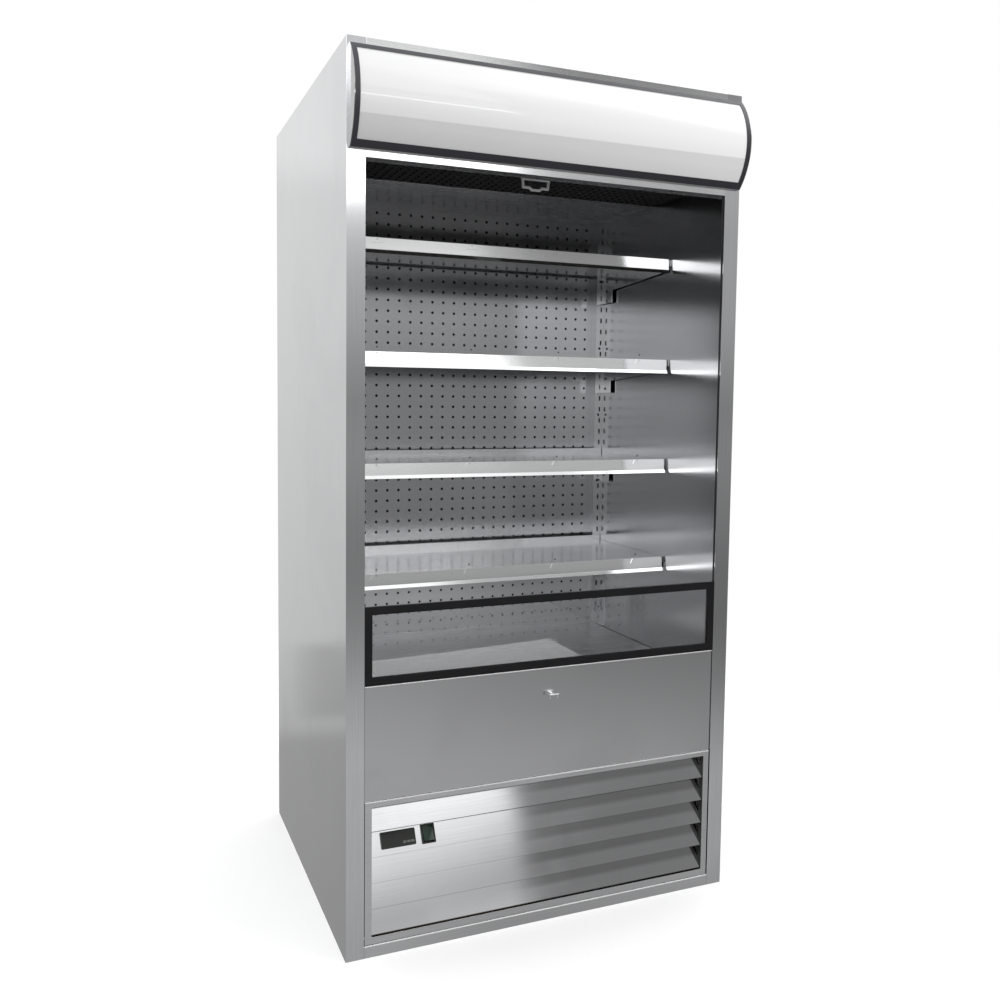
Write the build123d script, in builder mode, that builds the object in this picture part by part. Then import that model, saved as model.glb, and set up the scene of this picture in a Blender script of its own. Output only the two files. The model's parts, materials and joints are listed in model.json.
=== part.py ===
from build123d import *
import os
from math import atan2, cos, pi, radians, sin

os.makedirs("parts", exist_ok=True)

# An open multideck display fridge. Millimetres, +Z up, the customer stands at -Y.
# The origin is on the floor, under the centre of the whole outline.

# Cabinet
width = 1000.0             # over the two side panels
depth = 800.0              # front of the stiles to the back of the side panels
height = 2000.0            # floor to the roof
sheet = 1.5                # stainless sheet of the casing and the liner
fit_gap = 0.2              # left between pieces that are slid or dropped into place
panel_gap = 1.5            # shadow gap between front panels
stile_width = 42.0         # front face of each side panel
stile_return = 20.0        # the stile's fold behind the fascia and the grille
rear_return = 25.0         # fold of each side panel round the back
wall = 42.0                # outside of the cabinet to the inside of its liner
roof_foam = 42.0           # insulation above the cold space
floor_foam = 39.0          # insulation under the cold space
back_foam = 60.0           # insulation behind the air duct
front_foam = 28.0          # insulation behind the fascia

# Front, from the floor up
rail_height = 27.5         # bottom rail
rail_ledge = 20.0          # its top flange
grille_height = 327.0
fascia_height = 259.5
glass_height = 175.5       # black frame round the low front glass
head_face = 16.0           # bright strip that shows under the canopy
canopy_height = 212.0
canopy_drop = 17.0         # roof down to the top of the canopy
head_return = 35.0         # fold under the head rail

# Machine space and cold space
machine_height = 366.5     # bottom rail up to the insulated tub
tub_height = 118.0         # tub floor up to the display deck
front_wall = 48.0          # height of the tub's front wall above the display deck
duct_height = 166.0        # air duct over the ceiling panel
panel_setback = 605.0      # front of the cabinet to the perforated back panel
duct_depth = 128.8         # air duct behind that panel
panel_sheet = 1.2          # back panel, shelves and deck

# Perforated back panel
hole_diameter = 7.5
hole_pitch_x = 33.3
hole_pitch_z = 30.0
hole_columns = 26
hole_shift = -6.0          # pattern off the middle of the panel

# Uprights and shelves
upright_width = 25.0
upright_depth = 30.0
slot_width = 5.0
slot_length = 14.0
slot_pitch = 33.75
slot_inset = 9.0           # slot centre from the liner
round_hole = 8.0           # assembly holes between the slots
round_hole_inset = 13.0
round_every = 6            # slots from one round hole to the next
round_count = 6
top_shelf = 1630.0         # display surface of the highest shelf
hook_drop = 34.25          # display surface down to a bracket's upper hook
shelf_slots = 8            # slots between two shelves
shelf_count = 4
shelf_gap = 1.5            # shelf end to liner
rail_inset = 5.0           # shelf end to the end of its price rail
shelf_front = 229.0        # front of the cabinet to a shelf's front edge
shelf_flange = 15.0
rail_face = 30.0           # price rail along the shelf's front edge
rail_lean = 6.5            # degrees from upright
rail_lip = 9.0             # strip along the rail's lower edge
lip_lean = 26.0
lip_step = 1.2             # how far the strip stands out from the face
tab_width = 28.0
tab_pitch = 244.0
tab_count = 4
bracket_thick = 2.0
bracket_nose = 29.0        # height of a bracket at the shelf's front
bracket_arm = 48.0         # height where the arm meets the root
bracket_root = (62.0, 84.0)

# Low front glass
glass_border = 18.0
glass_frame_thick = 8.0
glass_thick = 4.0
glass_bite = 6.0           # glass held inside the frame

# Grille panel and its blades
grille_gap = 2.0
grille_border = 16.0       # sides and bottom of the frame
grille_head = 13.0         # top of the frame
grille_depth = 14.0
grille_setback = 2.0
blade_count = 5
blade_run = 30.0           # front edge to rear edge of a blade
blade_lap = 2.0            # height by which a blade stops short of the next one
blade_foot = 2.0           # opening of the frame up to the lowest blade
hinge_pin = 6.0
running_gap = 0.05         # radial clearance of every pin and shaft that turns

# Controller and switch, both on the second blade from the top
controller_x = -374.0
controller_size = (81.0, 36.0, 5.0)
controller_body = (71.0, 29.0, 52.0)
key_size = (8.0, 5.0, 3.7)
key_proud = 0.7
key_pocket = 4.0
key_pitch = 9.5
key_count = 3
switch_x = -302.0
switch_size = (33.0, 42.0, 3.0)
switch_body = (29.0, 40.0, 24.0)
rocker_size = (24.0, 33.0)
rocker_tilt = 9.0
rocker_pivot_depth = 5.0
rocker_pin = 3.0

# Light canopy
canopy_inset = 5.0         # end of the canopy from the side of the cabinet
canopy_flange = 8.0
canopy_bow = 40.0          # bulge of the diffuser beyond the flanges
canopy_band = 11.0         # black band round the diffuser
canopy_band_foot = 14.0
diffuser_thick = 3.0
trim_thick = 1.8
lamp_diameter = 26.0

# Air outlet and night blind
outlet_front = 168.0       # honeycomb air outlet, from the front of the cabinet
outlet_back = 322.0
outlet_height = 12.0
outlet_cells = (44, 6)
roller_radius = 14.0
roller_wall = 1.5
roller_pin = 8.0
roll_radius = 20.0         # roller with the whole blind wound on it
roller_drop = 108.5        # roller axis below the cold space's roof
blind_setback = 125.0      # where the cloth leaves the roll
cloth_half = 430.0
cloth_thick = 1.0
bar_half = 445.0
bar_size = (10.0, 18.0)
bar_drop = 58.0            # roller axis down to the middle of the bar
loop_top = 77.0
loop_bottom = 70.0
loop_height = 26.0
loop_dip = 5.0
loop_thick = 6.0
loop_depth = 5.0
soft_gap = 0.3             # kept round cloth

# Planes that the pieces share
front = -(depth - canopy_flange - canopy_bow) / 2
back = front + depth
side_x = width / 2
stile_x = side_x - stile_width
inner_x = side_x - wall
foam_x = inner_x + sheet
cover_y = back - 2 * sheet
foam_back = cover_y
duct_back = front + panel_setback + panel_sheet + duct_depth
grille_bottom = rail_height + panel_gap
grille_top = grille_bottom + grille_height
fascia_bottom = grille_top + panel_gap
fascia_top = fascia_bottom + fascia_height
glass_bottom = fascia_top + panel_gap / 3
glass_top = glass_bottom + glass_height
canopy_top = height - canopy_drop
canopy_bottom = canopy_top - canopy_height
head_bottom = canopy_bottom - head_face
tub_bottom = rail_height + machine_height
tub_floor_z = tub_bottom + floor_foam
deck_top = tub_floor_z + sheet + tub_height
front_wall_top = deck_top + front_wall
roof_z = height - sheet - roof_foam
ceiling_z = roof_z - duct_height
shelf_pitch = shelf_slots * slot_pitch
shelf_levels = [top_shelf - n * shelf_pitch for n in range(shelf_count)]
panel_y = front + panel_setback
upright_y = panel_y - upright_depth
foam_front = front + stile_return + fit_gap
wall_back = foam_front + front_foam


def bar(x, y, z, mode=Mode.ADD):
    """A block between the pair of values given for each of x, y and z."""
    with Locations((sum(x) / 2, sum(y) / 2, sum(z) / 2)):
        Box(abs(x[1] - x[0]), abs(y[1] - y[0]), abs(z[1] - z[0]), mode=mode)


def rod(centre, direction, radius, length, mode=Mode.ADD):
    """A cylinder that starts at centre and runs along direction."""
    with Locations(Plane(origin=centre, z_dir=direction)):
        Cylinder(radius, length, align=(Align.CENTER, Align.CENTER, Align.MIN), mode=mode)


# ---------------------------------------------------------------- casing

hinge_y = front + grille_setback + 6.0
hinge_z = grille_bottom + 13.5
for side, hand in ((-1, "left"), (1, "right")):
    with BuildPart() as side_panel:
        bar((side * side_x, side * (side_x - sheet)), (front, back), (0, height))
        bar((side * side_x, side * stile_x), (front, front + sheet), (0, height))
        bar((side * side_x, side * (side_x - rear_return)), (back - sheet, back), (0, height))
        bar(
            (side * stile_x, side * (stile_x + sheet)),
            (front, front + stile_return),
            (0, fascia_top),
        )
        rod(
            (side * (stile_x - 1), hinge_y, hinge_z),
            (side, 0, 0),
            hinge_pin / 2 + running_gap,
            sheet + 2,
            Mode.SUBTRACT,
        )
    side_panel.part.label = f"side_panel_{hand}"
    export_step(side_panel.part, f"parts/side_panel_{hand}.step")

vent_width = 90.0
vent_height = 8.0
vent_rows = 9
vent_columns = 6
gland_x = -380.0
gland_z = 120.0
gland_radius = 10.0
with BuildPart() as rear_cover:
    bar(
        (-side_x + sheet + fit_gap, side_x - sheet - fit_gap),
        (cover_y, back - sheet),
        (rail_height, height - sheet - fit_gap),
    )
    with BuildSketch(Plane.XZ.offset(-back)):
        with Locations((0, (rail_height + tub_bottom) / 2)):
            with GridLocations(1.35 * vent_width, 3 * vent_height, vent_columns, vent_rows):
                SlotOverall(vent_width, vent_height)
    extrude(amount=4 * sheet, mode=Mode.SUBTRACT)
    rod((gland_x, cover_y - 1, gland_z), (0, 1, 0), gland_radius + fit_gap, 4, Mode.SUBTRACT)
rear_cover.part.label = "rear_cover"
export_step(rear_cover.part, "parts/rear_cover.step")

with BuildPart() as roof_panel:
    bar(
        (-side_x + sheet + fit_gap, side_x - sheet - fit_gap),
        (front + sheet + fit_gap, cover_y - fit_gap),
        (height - sheet, height),
    )
roof_panel.part.label = "roof_panel"
export_step(roof_panel.part, "parts/roof_panel.step")

with BuildPart() as head_rail:
    bar((-stile_x + fit_gap, stile_x - fit_gap), (front, front + sheet), (head_bottom, height))
    bar(
        (-inner_x + fit_gap, inner_x - fit_gap),
        (front, front + head_return),
        (head_bottom, head_bottom + sheet),
    )
    bar(
        (-inner_x + fit_gap, inner_x - fit_gap),
        (front + head_return - sheet, front + head_return),
        (head_bottom, head_bottom + head_face),
    )
head_rail.part.label = "head_rail"
export_step(head_rail.part, "parts/head_rail.step")

with BuildPart() as bottom_rail:
    bar((-stile_x + fit_gap, stile_x - fit_gap), (front, front + sheet), (0, rail_height))
    bar(
        (-stile_x + fit_gap, stile_x - fit_gap),
        (front, front + rail_ledge),
        (rail_height - sheet, rail_height),
    )
bottom_rail.part.label = "bottom_rail"
export_step(bottom_rail.part, "parts/bottom_rail.step")

skid_width = 60.0
skid_x = side_x - 90.0
with BuildPart() as base_pan:
    pan_front = front + rail_ledge + fit_gap
    pan_back = cover_y - fit_gap
    bar(
        (-side_x + sheet + fit_gap, side_x - sheet - fit_gap),
        (pan_front, pan_back),
        (rail_height - sheet, rail_height),
    )
    for side in (-1, 1):
        skid = (side * skid_x - skid_width / 2, side * skid_x + skid_width / 2)
        bar(skid, (pan_front, pan_back), (0, rail_height - sheet))
        bar(
            (skid[0] + sheet, skid[1] - sheet),
            (pan_front, pan_back),
            (sheet, rail_height - 2 * sheet),
            Mode.SUBTRACT,
        )
base_pan.part.label = "base_pan"
export_step(base_pan.part, "parts/base_pan.step")

# ---------------------------------------------------------------- insulation and liner

pipe_x = 395.0
pipe_y = duct_back - 45.0
pipe_hole = 28.0
drain_x = 0.0
drain_y = front + 590.0
drain_radius = 11.0
with BuildPart() as insulation:
    bar((-side_x + sheet, side_x - sheet), (foam_front, foam_back), (tub_bottom, height - sheet))
    bar((-foam_x, foam_x), (wall_back, duct_back + sheet), (tub_floor_z, roof_z), Mode.SUBTRACT)
    bar((-foam_x, foam_x), (foam_front, wall_back), (front_wall_top, roof_z), Mode.SUBTRACT)
    with Locations((pipe_x, pipe_y, tub_bottom)):
        Cylinder(pipe_hole, 3 * floor_foam, mode=Mode.SUBTRACT)
    with Locations((drain_x, drain_y, tub_bottom)):
        Cylinder(drain_radius + fit_gap, 3 * floor_foam, mode=Mode.SUBTRACT)
insulation.part.label = "insulation"
export_step(insulation.part, "parts/insulation.step")

breaker_depth = 8.0
hem_depth = 7.0            # bright fold along the front edge of the liner
hem_thick = 1.0
roller_y = front + blind_setback + roll_radius
roller_z = roof_z - roller_drop
for side, hand in ((-1, "left"), (1, "right")):
    with BuildPart() as liner:
        bar(
            (side * inner_x, side * foam_x),
            (front + breaker_depth + fit_gap, duct_back),
            (tub_floor_z, roof_z),
        )
        bar(
            (side * (inner_x - hem_thick), side * foam_x),
            (front + breaker_depth + fit_gap, front + breaker_depth + hem_depth),
            (glass_top + fit_gap, head_bottom - fit_gap),
        )
        rod(
            (side * (inner_x - 1), roller_y, roller_z),
            (side, 0, 0),
            roller_pin / 2 + running_gap,
            sheet + 2,
            Mode.SUBTRACT,
        )
        beside = (side * (inner_x - 1), side * (foam_x + 1))
        bar(beside, (front, wall_back), (tub_bottom, front_wall_top), Mode.SUBTRACT)
        bar(beside, (front, foam_front), (tub_bottom, fascia_top + fit_gap), Mode.SUBTRACT)
    liner.part.label = f"liner_{hand}"
    export_step(liner.part, f"parts/liner_{hand}.step")

with BuildPart() as liner_back:
    bar((-foam_x, foam_x), (duct_back, duct_back + sheet), (tub_floor_z, roof_z))
liner_back.part.label = "liner_back"
export_step(liner_back.part, "parts/liner_back.step")

with BuildPart() as tub_floor:
    tub_x = inner_x - fit_gap
    bar((-tub_x, tub_x), (wall_back, duct_back), (tub_floor_z, tub_floor_z + sheet))
    bar((-tub_x, tub_x), (wall_back, wall_back + sheet), (tub_floor_z, front_wall_top + sheet))
    bar((-tub_x, tub_x), (foam_front, wall_back), (front_wall_top, front_wall_top + sheet))
    with Locations((pipe_x, pipe_y, tub_floor_z)):
        Cylinder(pipe_hole, 4 * sheet, mode=Mode.SUBTRACT)
    with Locations((drain_x, drain_y, tub_floor_z)):
        Cylinder(drain_radius + fit_gap, 4 * sheet, mode=Mode.SUBTRACT)
tub_floor.part.label = "tub_floor"
export_step(tub_floor.part, "parts/tub_floor.step")

with BuildPart() as breaker_strips:
    for side in (-1, 1):
        bar(
            (side * inner_x, side * (inner_x + 15)),
            (front + sheet, front + breaker_depth),
            (fascia_top + fit_gap, head_bottom),
        )
breaker_strips.part.label = "breaker_strips"
export_step(breaker_strips.part, "parts/breaker_strips.step")

ceiling_lip = 30.0
with BuildPart() as ceiling_panel:
    ceiling_x = inner_x - fit_gap
    ceiling_front = front + outlet_back + fit_gap
    bar((-ceiling_x, ceiling_x), (ceiling_front, panel_y - fit_gap), (ceiling_z, ceiling_z + sheet))
    bar(
        (-ceiling_x, ceiling_x),
        (ceiling_front, ceiling_front + sheet),
        (ceiling_z, ceiling_z + ceiling_lip),
    )
ceiling_panel.part.label = "ceiling_panel"
export_step(ceiling_panel.part, "parts/ceiling_panel.step")

# ---------------------------------------------------------------- back panel and uprights

hole_drop = 11.5           # shelf level down to the next row of holes
first_row = deck_top + 35.0
rows_down = int((top_shelf - hole_drop - first_row) / hole_pitch_z)
rows_up = int((ceiling_z - top_shelf + hole_drop - hole_pitch_z / 2) / hole_pitch_z)
hole_rows = rows_down + rows_up + 1
rows_middle = top_shelf - hole_drop + (rows_up - rows_down) * hole_pitch_z / 2
with BuildPart() as back_panel:
    panel_x = inner_x - fit_gap
    panel_base = deck_top - 50.0
    with BuildSketch(Plane.XZ.offset(-panel_y)):
        with Locations((0, (panel_base + ceiling_z) / 2)):
            Rectangle(2 * panel_x, ceiling_z - panel_base)
        with Locations((hole_shift, rows_middle)):
            with GridLocations(hole_pitch_x, hole_pitch_z, hole_columns, hole_rows):
                Circle(hole_diameter / 2, mode=Mode.SUBTRACT)
    extrude(amount=-panel_sheet)
back_panel.part.label = "back_panel"
export_step(back_panel.part, "parts/back_panel.step")

slot_x = inner_x - slot_inset
slot_z = top_shelf - hook_drop
slots_down = int((slot_z - deck_top - slot_pitch) / slot_pitch)
slots_up = int((ceiling_z - slot_z - slot_length) / slot_pitch)
slot_total = slots_down + slots_up + 1
slot_middle = slot_z + (slots_up - slots_down) * slot_pitch / 2
round_z = [slot_z + slot_pitch / 2 - n * round_every * slot_pitch for n in range(round_count)]
for side, hand in ((-1, "left"), (1, "right")):
    with BuildPart() as upright:
        upright_out = inner_x - fit_gap
        upright_in = inner_x - upright_width
        column = (deck_top + fit_gap, ceiling_z - fit_gap)
        web = (upright_y + sheet, panel_y - fit_gap)
        bar((side * upright_in, side * upright_out), (upright_y, upright_y + sheet), column)
        bar((side * upright_in, side * (upright_in + sheet)), web, column)
        bar((side * (upright_out - sheet), side * upright_out), web, column)
        with BuildSketch(Plane.XZ.offset(-upright_y + 1)):
            with Locations((side * slot_x, slot_middle)):
                with GridLocations(1, slot_pitch, 1, slot_total):
                    Rectangle(slot_width, slot_length)
            with Locations(*[(side * (inner_x - round_hole_inset), z) for z in round_z]):
                Circle(round_hole / 2)
        extrude(amount=-(sheet + 2), mode=Mode.SUBTRACT)
    upright.part.label = f"upright_{hand}"
    export_step(upright.part, f"parts/upright_{hand}.step")

# ---------------------------------------------------------------- shelves

shelf_x = inner_x - shelf_gap
rail_x = shelf_x - rail_inset
shelf_y = (front + shelf_front, upright_y - 2.0)
for number, level in enumerate(shelf_levels, 1):
    with BuildPart() as shelf:
        bar((-shelf_x, shelf_x), shelf_y, (level - panel_sheet, level))
        bar((-shelf_x, shelf_x), (shelf_y[1] - panel_sheet, shelf_y[1]), (level, level + shelf_flange))
        for side in (-1, 1):
            bar(
                (side * shelf_x, side * (shelf_x - panel_sheet)),
                shelf_y,
                (level - shelf_flange, level),
            )
        bar((-shelf_x, shelf_x), (shelf_y[0], shelf_y[0] + panel_sheet), (level - shelf_flange, level))
    shelf.part.label = f"shelf_{number}"
    export_step(shelf.part, f"parts/shelf_{number}.step")

tab_hole = 4.0


def leaning_plane(origin, degrees):
    """A plane that faces the front and leans back by so many degrees at its top."""
    tilt = radians(degrees)
    return Plane(origin=origin, x_dir=(1, 0, 0), z_dir=(0, -cos(tilt), sin(tilt)))


with BuildPart() as shelf_rails:
    for level in shelf_levels:
        face = leaning_plane((0, shelf_y[0] - sheet - fit_gap, level + sheet), rail_lean)
        with BuildSketch(face):
            Rectangle(2 * rail_x, rail_face, align=(Align.CENTER, Align.MAX))
        extrude(amount=-panel_sheet)
        lip = leaning_plane(face.from_local_coords((0, 1 - rail_face, lip_step)), lip_lean)
        with BuildSketch(lip):
            Rectangle(2 * rail_x, rail_lip, align=(Align.CENTER, Align.MAX))
        extrude(amount=-(panel_sheet + lip_step))
        bar(
            (-rail_x, rail_x),
            (shelf_y[0] - sheet - fit_gap, shelf_y[0] + 8),
            (level, level + sheet),
        )
        with BuildSketch(face):
            with GridLocations(tab_pitch, 1, tab_count, 1):
                Trapezoid(tab_width, 12, 60, align=(Align.CENTER, Align.MAX))
        extrude(amount=0.8)
        with BuildSketch(face.offset(1)):
            with Locations((0, -4)):
                with GridLocations(tab_pitch, 1, tab_count, 1):
                    Circle(tab_hole / 2)
        extrude(amount=-(panel_sheet + 2), mode=Mode.SUBTRACT)
shelf_rails.part.label = "shelf_rails"
export_step(shelf_rails.part, "parts/shelf_rails.step")

bracket_x = slot_x - bracket_thick / 2
hook_depth = 6.0
with BuildPart() as shelf_brackets:
    for level in shelf_levels:
        seat = level - panel_sheet - fit_gap
        rear = upright_y - fit_gap
        for side in (-1, 1):
            inner_face = min(side * bracket_x, side * (bracket_x + bracket_thick))
            with BuildSketch(Plane.YZ.offset(inner_face)):
                with BuildLine():
                    Polyline(
                        (rear, seat),
                        (shelf_y[0] + 10, seat),
                        (shelf_y[0] + 10, seat - bracket_nose),
                        (rear - bracket_root[0], seat - bracket_arm),
                        (rear - bracket_root[0], seat - bracket_root[1]),
                        (rear, seat - bracket_root[1]),
                        close=True,
                    )
                make_face()
            extrude(amount=bracket_thick)
            for hook in (slot_z, slot_z - slot_pitch):
                hook_z = hook - (top_shelf - level)
                bar(
                    (side * bracket_x, side * (bracket_x + bracket_thick)),
                    (rear - 1, upright_y + sheet + hook_depth),
                    (hook_z - 5, hook_z + 4),
                )
shelf_brackets.part.label = "shelf_brackets"
export_step(shelf_brackets.part, "parts/shelf_brackets.step")

# ---------------------------------------------------------------- deck, air intake, air outlet

deck_x = inner_x - 3.0
deck_front = front + 135.0
deck_lip = 20.0
with BuildPart() as deck_pan:
    bar((-deck_x, deck_x), (deck_front, panel_y - fit_gap), (deck_top - panel_sheet, deck_top))
    bar(
        (-inner_x + upright_width + 1, inner_x - upright_width - 1),
        (panel_y - fit_gap - panel_sheet, panel_y - fit_gap),
        (deck_top, deck_top + deck_lip),
    )
    for side in (-1, 1):
        bar(
            (side * deck_x, side * (deck_x - panel_sheet)),
            (deck_front, panel_y - fit_gap),
            (tub_floor_z + sheet, deck_top),
        )
deck_pan.part.label = "deck_pan"
export_step(deck_pan.part, "parts/deck_pan.step")

intake_slot = (8.0, 60.0)
intake_count = 50
with BuildPart() as return_grille:
    intake_y = (wall_back + sheet + fit_gap, deck_front - fit_gap)
    bar((-deck_x, deck_x), intake_y, (deck_top - panel_sheet, deck_top))
    for side in (-1, 1):
        bar(
            (side * deck_x, side * (deck_x - panel_sheet)),
            intake_y,
            (tub_floor_z + sheet, deck_top),
        )
    with BuildSketch(Plane.XY.offset(deck_top)):
        with Locations((0, sum(intake_y) / 2)):
            with GridLocations(2 * (deck_x - 15) / intake_count, 1, intake_count, 1):
                SlotOverall(intake_slot[1], intake_slot[0], rotation=90)
    extrude(amount=-2 * panel_sheet, mode=Mode.SUBTRACT)
return_grille.part.label = "return_grille"
export_step(return_grille.part, "parts/return_grille.step")

cell_wall = 1.5
with BuildPart() as air_straightener:
    outlet_x = inner_x - fit_gap
    outlet_y = (front + outlet_front, front + outlet_back)
    pitch_x = (2 * outlet_x - cell_wall) / outlet_cells[0]
    pitch_y = (outlet_y[1] - outlet_y[0] - cell_wall) / outlet_cells[1]
    with BuildSketch(Plane.XY.offset(ceiling_z)):
        with Locations((0, sum(outlet_y) / 2)):
            Rectangle(2 * outlet_x, outlet_y[1] - outlet_y[0])
            with GridLocations(pitch_x, pitch_y, *outlet_cells):
                Rectangle(pitch_x - cell_wall, pitch_y - cell_wall, mode=Mode.SUBTRACT)
    extrude(amount=outlet_height)
    bar((-outlet_x, outlet_x), (outlet_y[0], outlet_y[0] + cell_wall), (ceiling_z, roof_z - fit_gap))
air_straightener.part.label = "air_straightener"
export_step(air_straightener.part, "parts/air_straightener.step")

# ---------------------------------------------------------------- front glass and fascia

frame_x = inner_x - fit_gap
frame_y = (front + 1.0, front + 1.0 + glass_frame_thick)
glass_y = (front + 1.0 + 2.0, front + 1.0 + 2.0 + glass_thick)
with BuildPart() as glass_frame:
    sight_x = frame_x - glass_border
    sight_z = (glass_bottom + glass_border, glass_top - glass_border)
    bar((-frame_x, frame_x), frame_y, (glass_bottom, glass_top))
    bar((-sight_x, sight_x), frame_y, sight_z, Mode.SUBTRACT)
    bar(
        (-sight_x - glass_bite, sight_x + glass_bite),
        glass_y,
        (sight_z[0] - glass_bite, sight_z[1] + glass_bite),
        Mode.SUBTRACT,
    )
glass_frame.part.label = "glass_frame"
export_step(glass_frame.part, "parts/glass_frame.step")

with BuildPart() as front_glass:
    pane_x = sight_x + glass_bite - fit_gap
    bar(
        (-pane_x, pane_x),
        (glass_y[0] + fit_gap / 2, glass_y[1] - fit_gap / 2),
        (sight_z[0] - glass_bite + fit_gap, sight_z[1] + glass_bite - fit_gap),
    )
front_glass.part.label = "front_glass"
export_step(front_glass.part, "parts/front_glass.step")

fascia_x = stile_x - 1.0
fascia_y = front + 3.0
fascia_bead = 2.5          # the top fold comes forward of the face
with BuildPart() as fascia_panel:
    bar((-fascia_x, fascia_x), (fascia_y, fascia_y + sheet), (fascia_bottom, fascia_top))
    bar(
        (-fascia_x, fascia_x),
        (fascia_y - fascia_bead, front + stile_return),
        (fascia_top - sheet, fascia_top),
    )
    bar((-fascia_x, fascia_x), (fascia_y, front + stile_return), (fascia_bottom, fascia_bottom + sheet))
    for side in (-1, 1):
        bar(
            (side * fascia_x, side * (fascia_x - sheet)),
            (fascia_y, front + stile_return),
            (fascia_bottom, fascia_top),
        )
fascia_panel.part.label = "fascia_panel"
export_step(fascia_panel.part, "parts/fascia_panel.step")

catch_z = 555.0
catch_reach = 17.0
catch_span = 25.0
catch_rod = 2.5
catch_drop = 9.0
with BuildPart() as blind_catch:
    rod((0, fascia_y, catch_z), (0, -1, 0), 8.0, 2.0)
    rod((0, fascia_y, catch_z), (0, -1, 0), 3.5, catch_reach)
    cross_y = fascia_y - catch_reach + 1
    rod((-catch_span / 2, cross_y, catch_z), (1, 0, 0), catch_rod, catch_span)
    for side in (-1, 1):
        hook_x = side * (catch_span / 2 - catch_rod)
        rod((hook_x, cross_y, catch_z), (0, 0, -1), catch_rod - 0.3, catch_drop)
blind_catch.part.label = "blind_catch"
export_step(blind_catch.part, "parts/blind_catch.step")

# ---------------------------------------------------------------- grille panel

grille_x = stile_x - grille_gap
grille_y = (front + grille_setback, front + grille_setback + grille_depth)
grille_open_x = grille_x - grille_border
grille_open_z = (grille_bottom + grille_border, grille_top - grille_head)
with BuildPart() as grille_frame:
    bar((-grille_x, grille_x), grille_y, (grille_bottom, grille_top))
    bar((-grille_open_x, grille_open_x), grille_y, grille_open_z, Mode.SUBTRACT)
    with BuildSketch(Plane.XZ.offset(-(grille_y[1] + 1))):
        with Locations((0, (grille_bottom + grille_top) / 2)):
            Rectangle(2 * (grille_x - sheet), grille_height - 2 * sheet)
        with Locations((0, sum(grille_open_z) / 2)):
            Rectangle(
                2 * (grille_open_x + sheet),
                grille_open_z[1] - grille_open_z[0] + 2 * sheet,
                mode=Mode.SUBTRACT,
            )
    extrude(amount=grille_depth - sheet + 1, mode=Mode.SUBTRACT)
    for side in (-1, 1):
        rod(
            (side * (grille_x - sheet / 2), hinge_y, hinge_z),
            (side, 0, 0),
            hinge_pin / 2,
            grille_gap + 1.5 * sheet,
        )
grille_frame.part.label = "grille_frame"
export_step(grille_frame.part, "parts/grille_frame.step")

blade_space = grille_open_z[1] - fit_gap - grille_open_z[0] - blade_foot
blade_pitch = (blade_space + blade_lap) / blade_count
blade_rise = blade_pitch - blade_lap
blade_lean = atan2(blade_run, blade_rise)
blade_length = blade_run / sin(blade_lean)


def blade_plane(number):
    """The outer face of a blade, numbered from the bottom, with its origin at the blade's middle."""
    return Plane(
        origin=(
            0,
            front + grille_setback + 1.5 + blade_run / 2,
            grille_open_z[0] + blade_foot + number * blade_pitch + blade_rise / 2,
        ),
        x_dir=(1, 0, 0),
        z_dir=(0, -cos(blade_lean), sin(blade_lean)),
    )


panel_plane = blade_plane(blade_count - 2)
with BuildPart() as louvre_blades:
    for number in range(blade_count):
        with BuildSketch(blade_plane(number)):
            Rectangle(2 * (grille_open_x - fit_gap), blade_length - 2 * sheet)
        extrude(amount=-sheet)
    with BuildSketch(panel_plane.offset(1)):
        with Locations((controller_x, 0)):
            Rectangle(controller_body[0] + 2 * fit_gap, controller_body[1] + 2 * fit_gap)
        with Locations((switch_x, 0)):
            Rectangle(switch_body[0] + 2 * fit_gap, switch_body[1] + 2 * fit_gap)
    extrude(amount=-(sheet + 2), mode=Mode.SUBTRACT)
louvre_blades.part.label = "louvre_blades"
export_step(louvre_blades.part, "parts/louvre_blades.step")

key_places = [(controller_x + controller_size[0] / 2 - 8 - n * key_pitch, -9.0) for n in range(key_count)]
with BuildPart() as controller:
    with BuildSketch(panel_plane):
        with Locations((controller_x, 0)):
            RectangleRounded(controller_size[0], controller_size[1], 3)
    extrude(amount=controller_size[2])
    with BuildSketch(panel_plane):
        with Locations((controller_x, 0)):
            Rectangle(controller_body[0], controller_body[1])
    extrude(amount=-controller_body[2])
    with BuildSketch(panel_plane.offset(controller_size[2])):
        with Locations(*key_places):
            Rectangle(key_size[0] + 0.6, key_size[1] + 0.6)
    extrude(amount=-key_pocket, mode=Mode.SUBTRACT)
    with BuildSketch(panel_plane.offset(controller_size[2])):
        with Locations((controller_x - 8, 3)):
            RectangleRounded(46, 20, 1.5)
    extrude(amount=-0.8, mode=Mode.SUBTRACT)
controller.part.label = "controller"
export_step(controller.part, "parts/controller.step")

for number, place in enumerate(key_places, 1):
    with BuildPart() as key:
        with BuildSketch(panel_plane.offset(controller_size[2] + key_proud)):
            with Locations(place):
                RectangleRounded(key_size[0], key_size[1], 1)
        extrude(amount=-key_size[2])
    key.part.label = f"key_{number}"
    export_step(key.part, f"parts/key_{number}.step")

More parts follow.
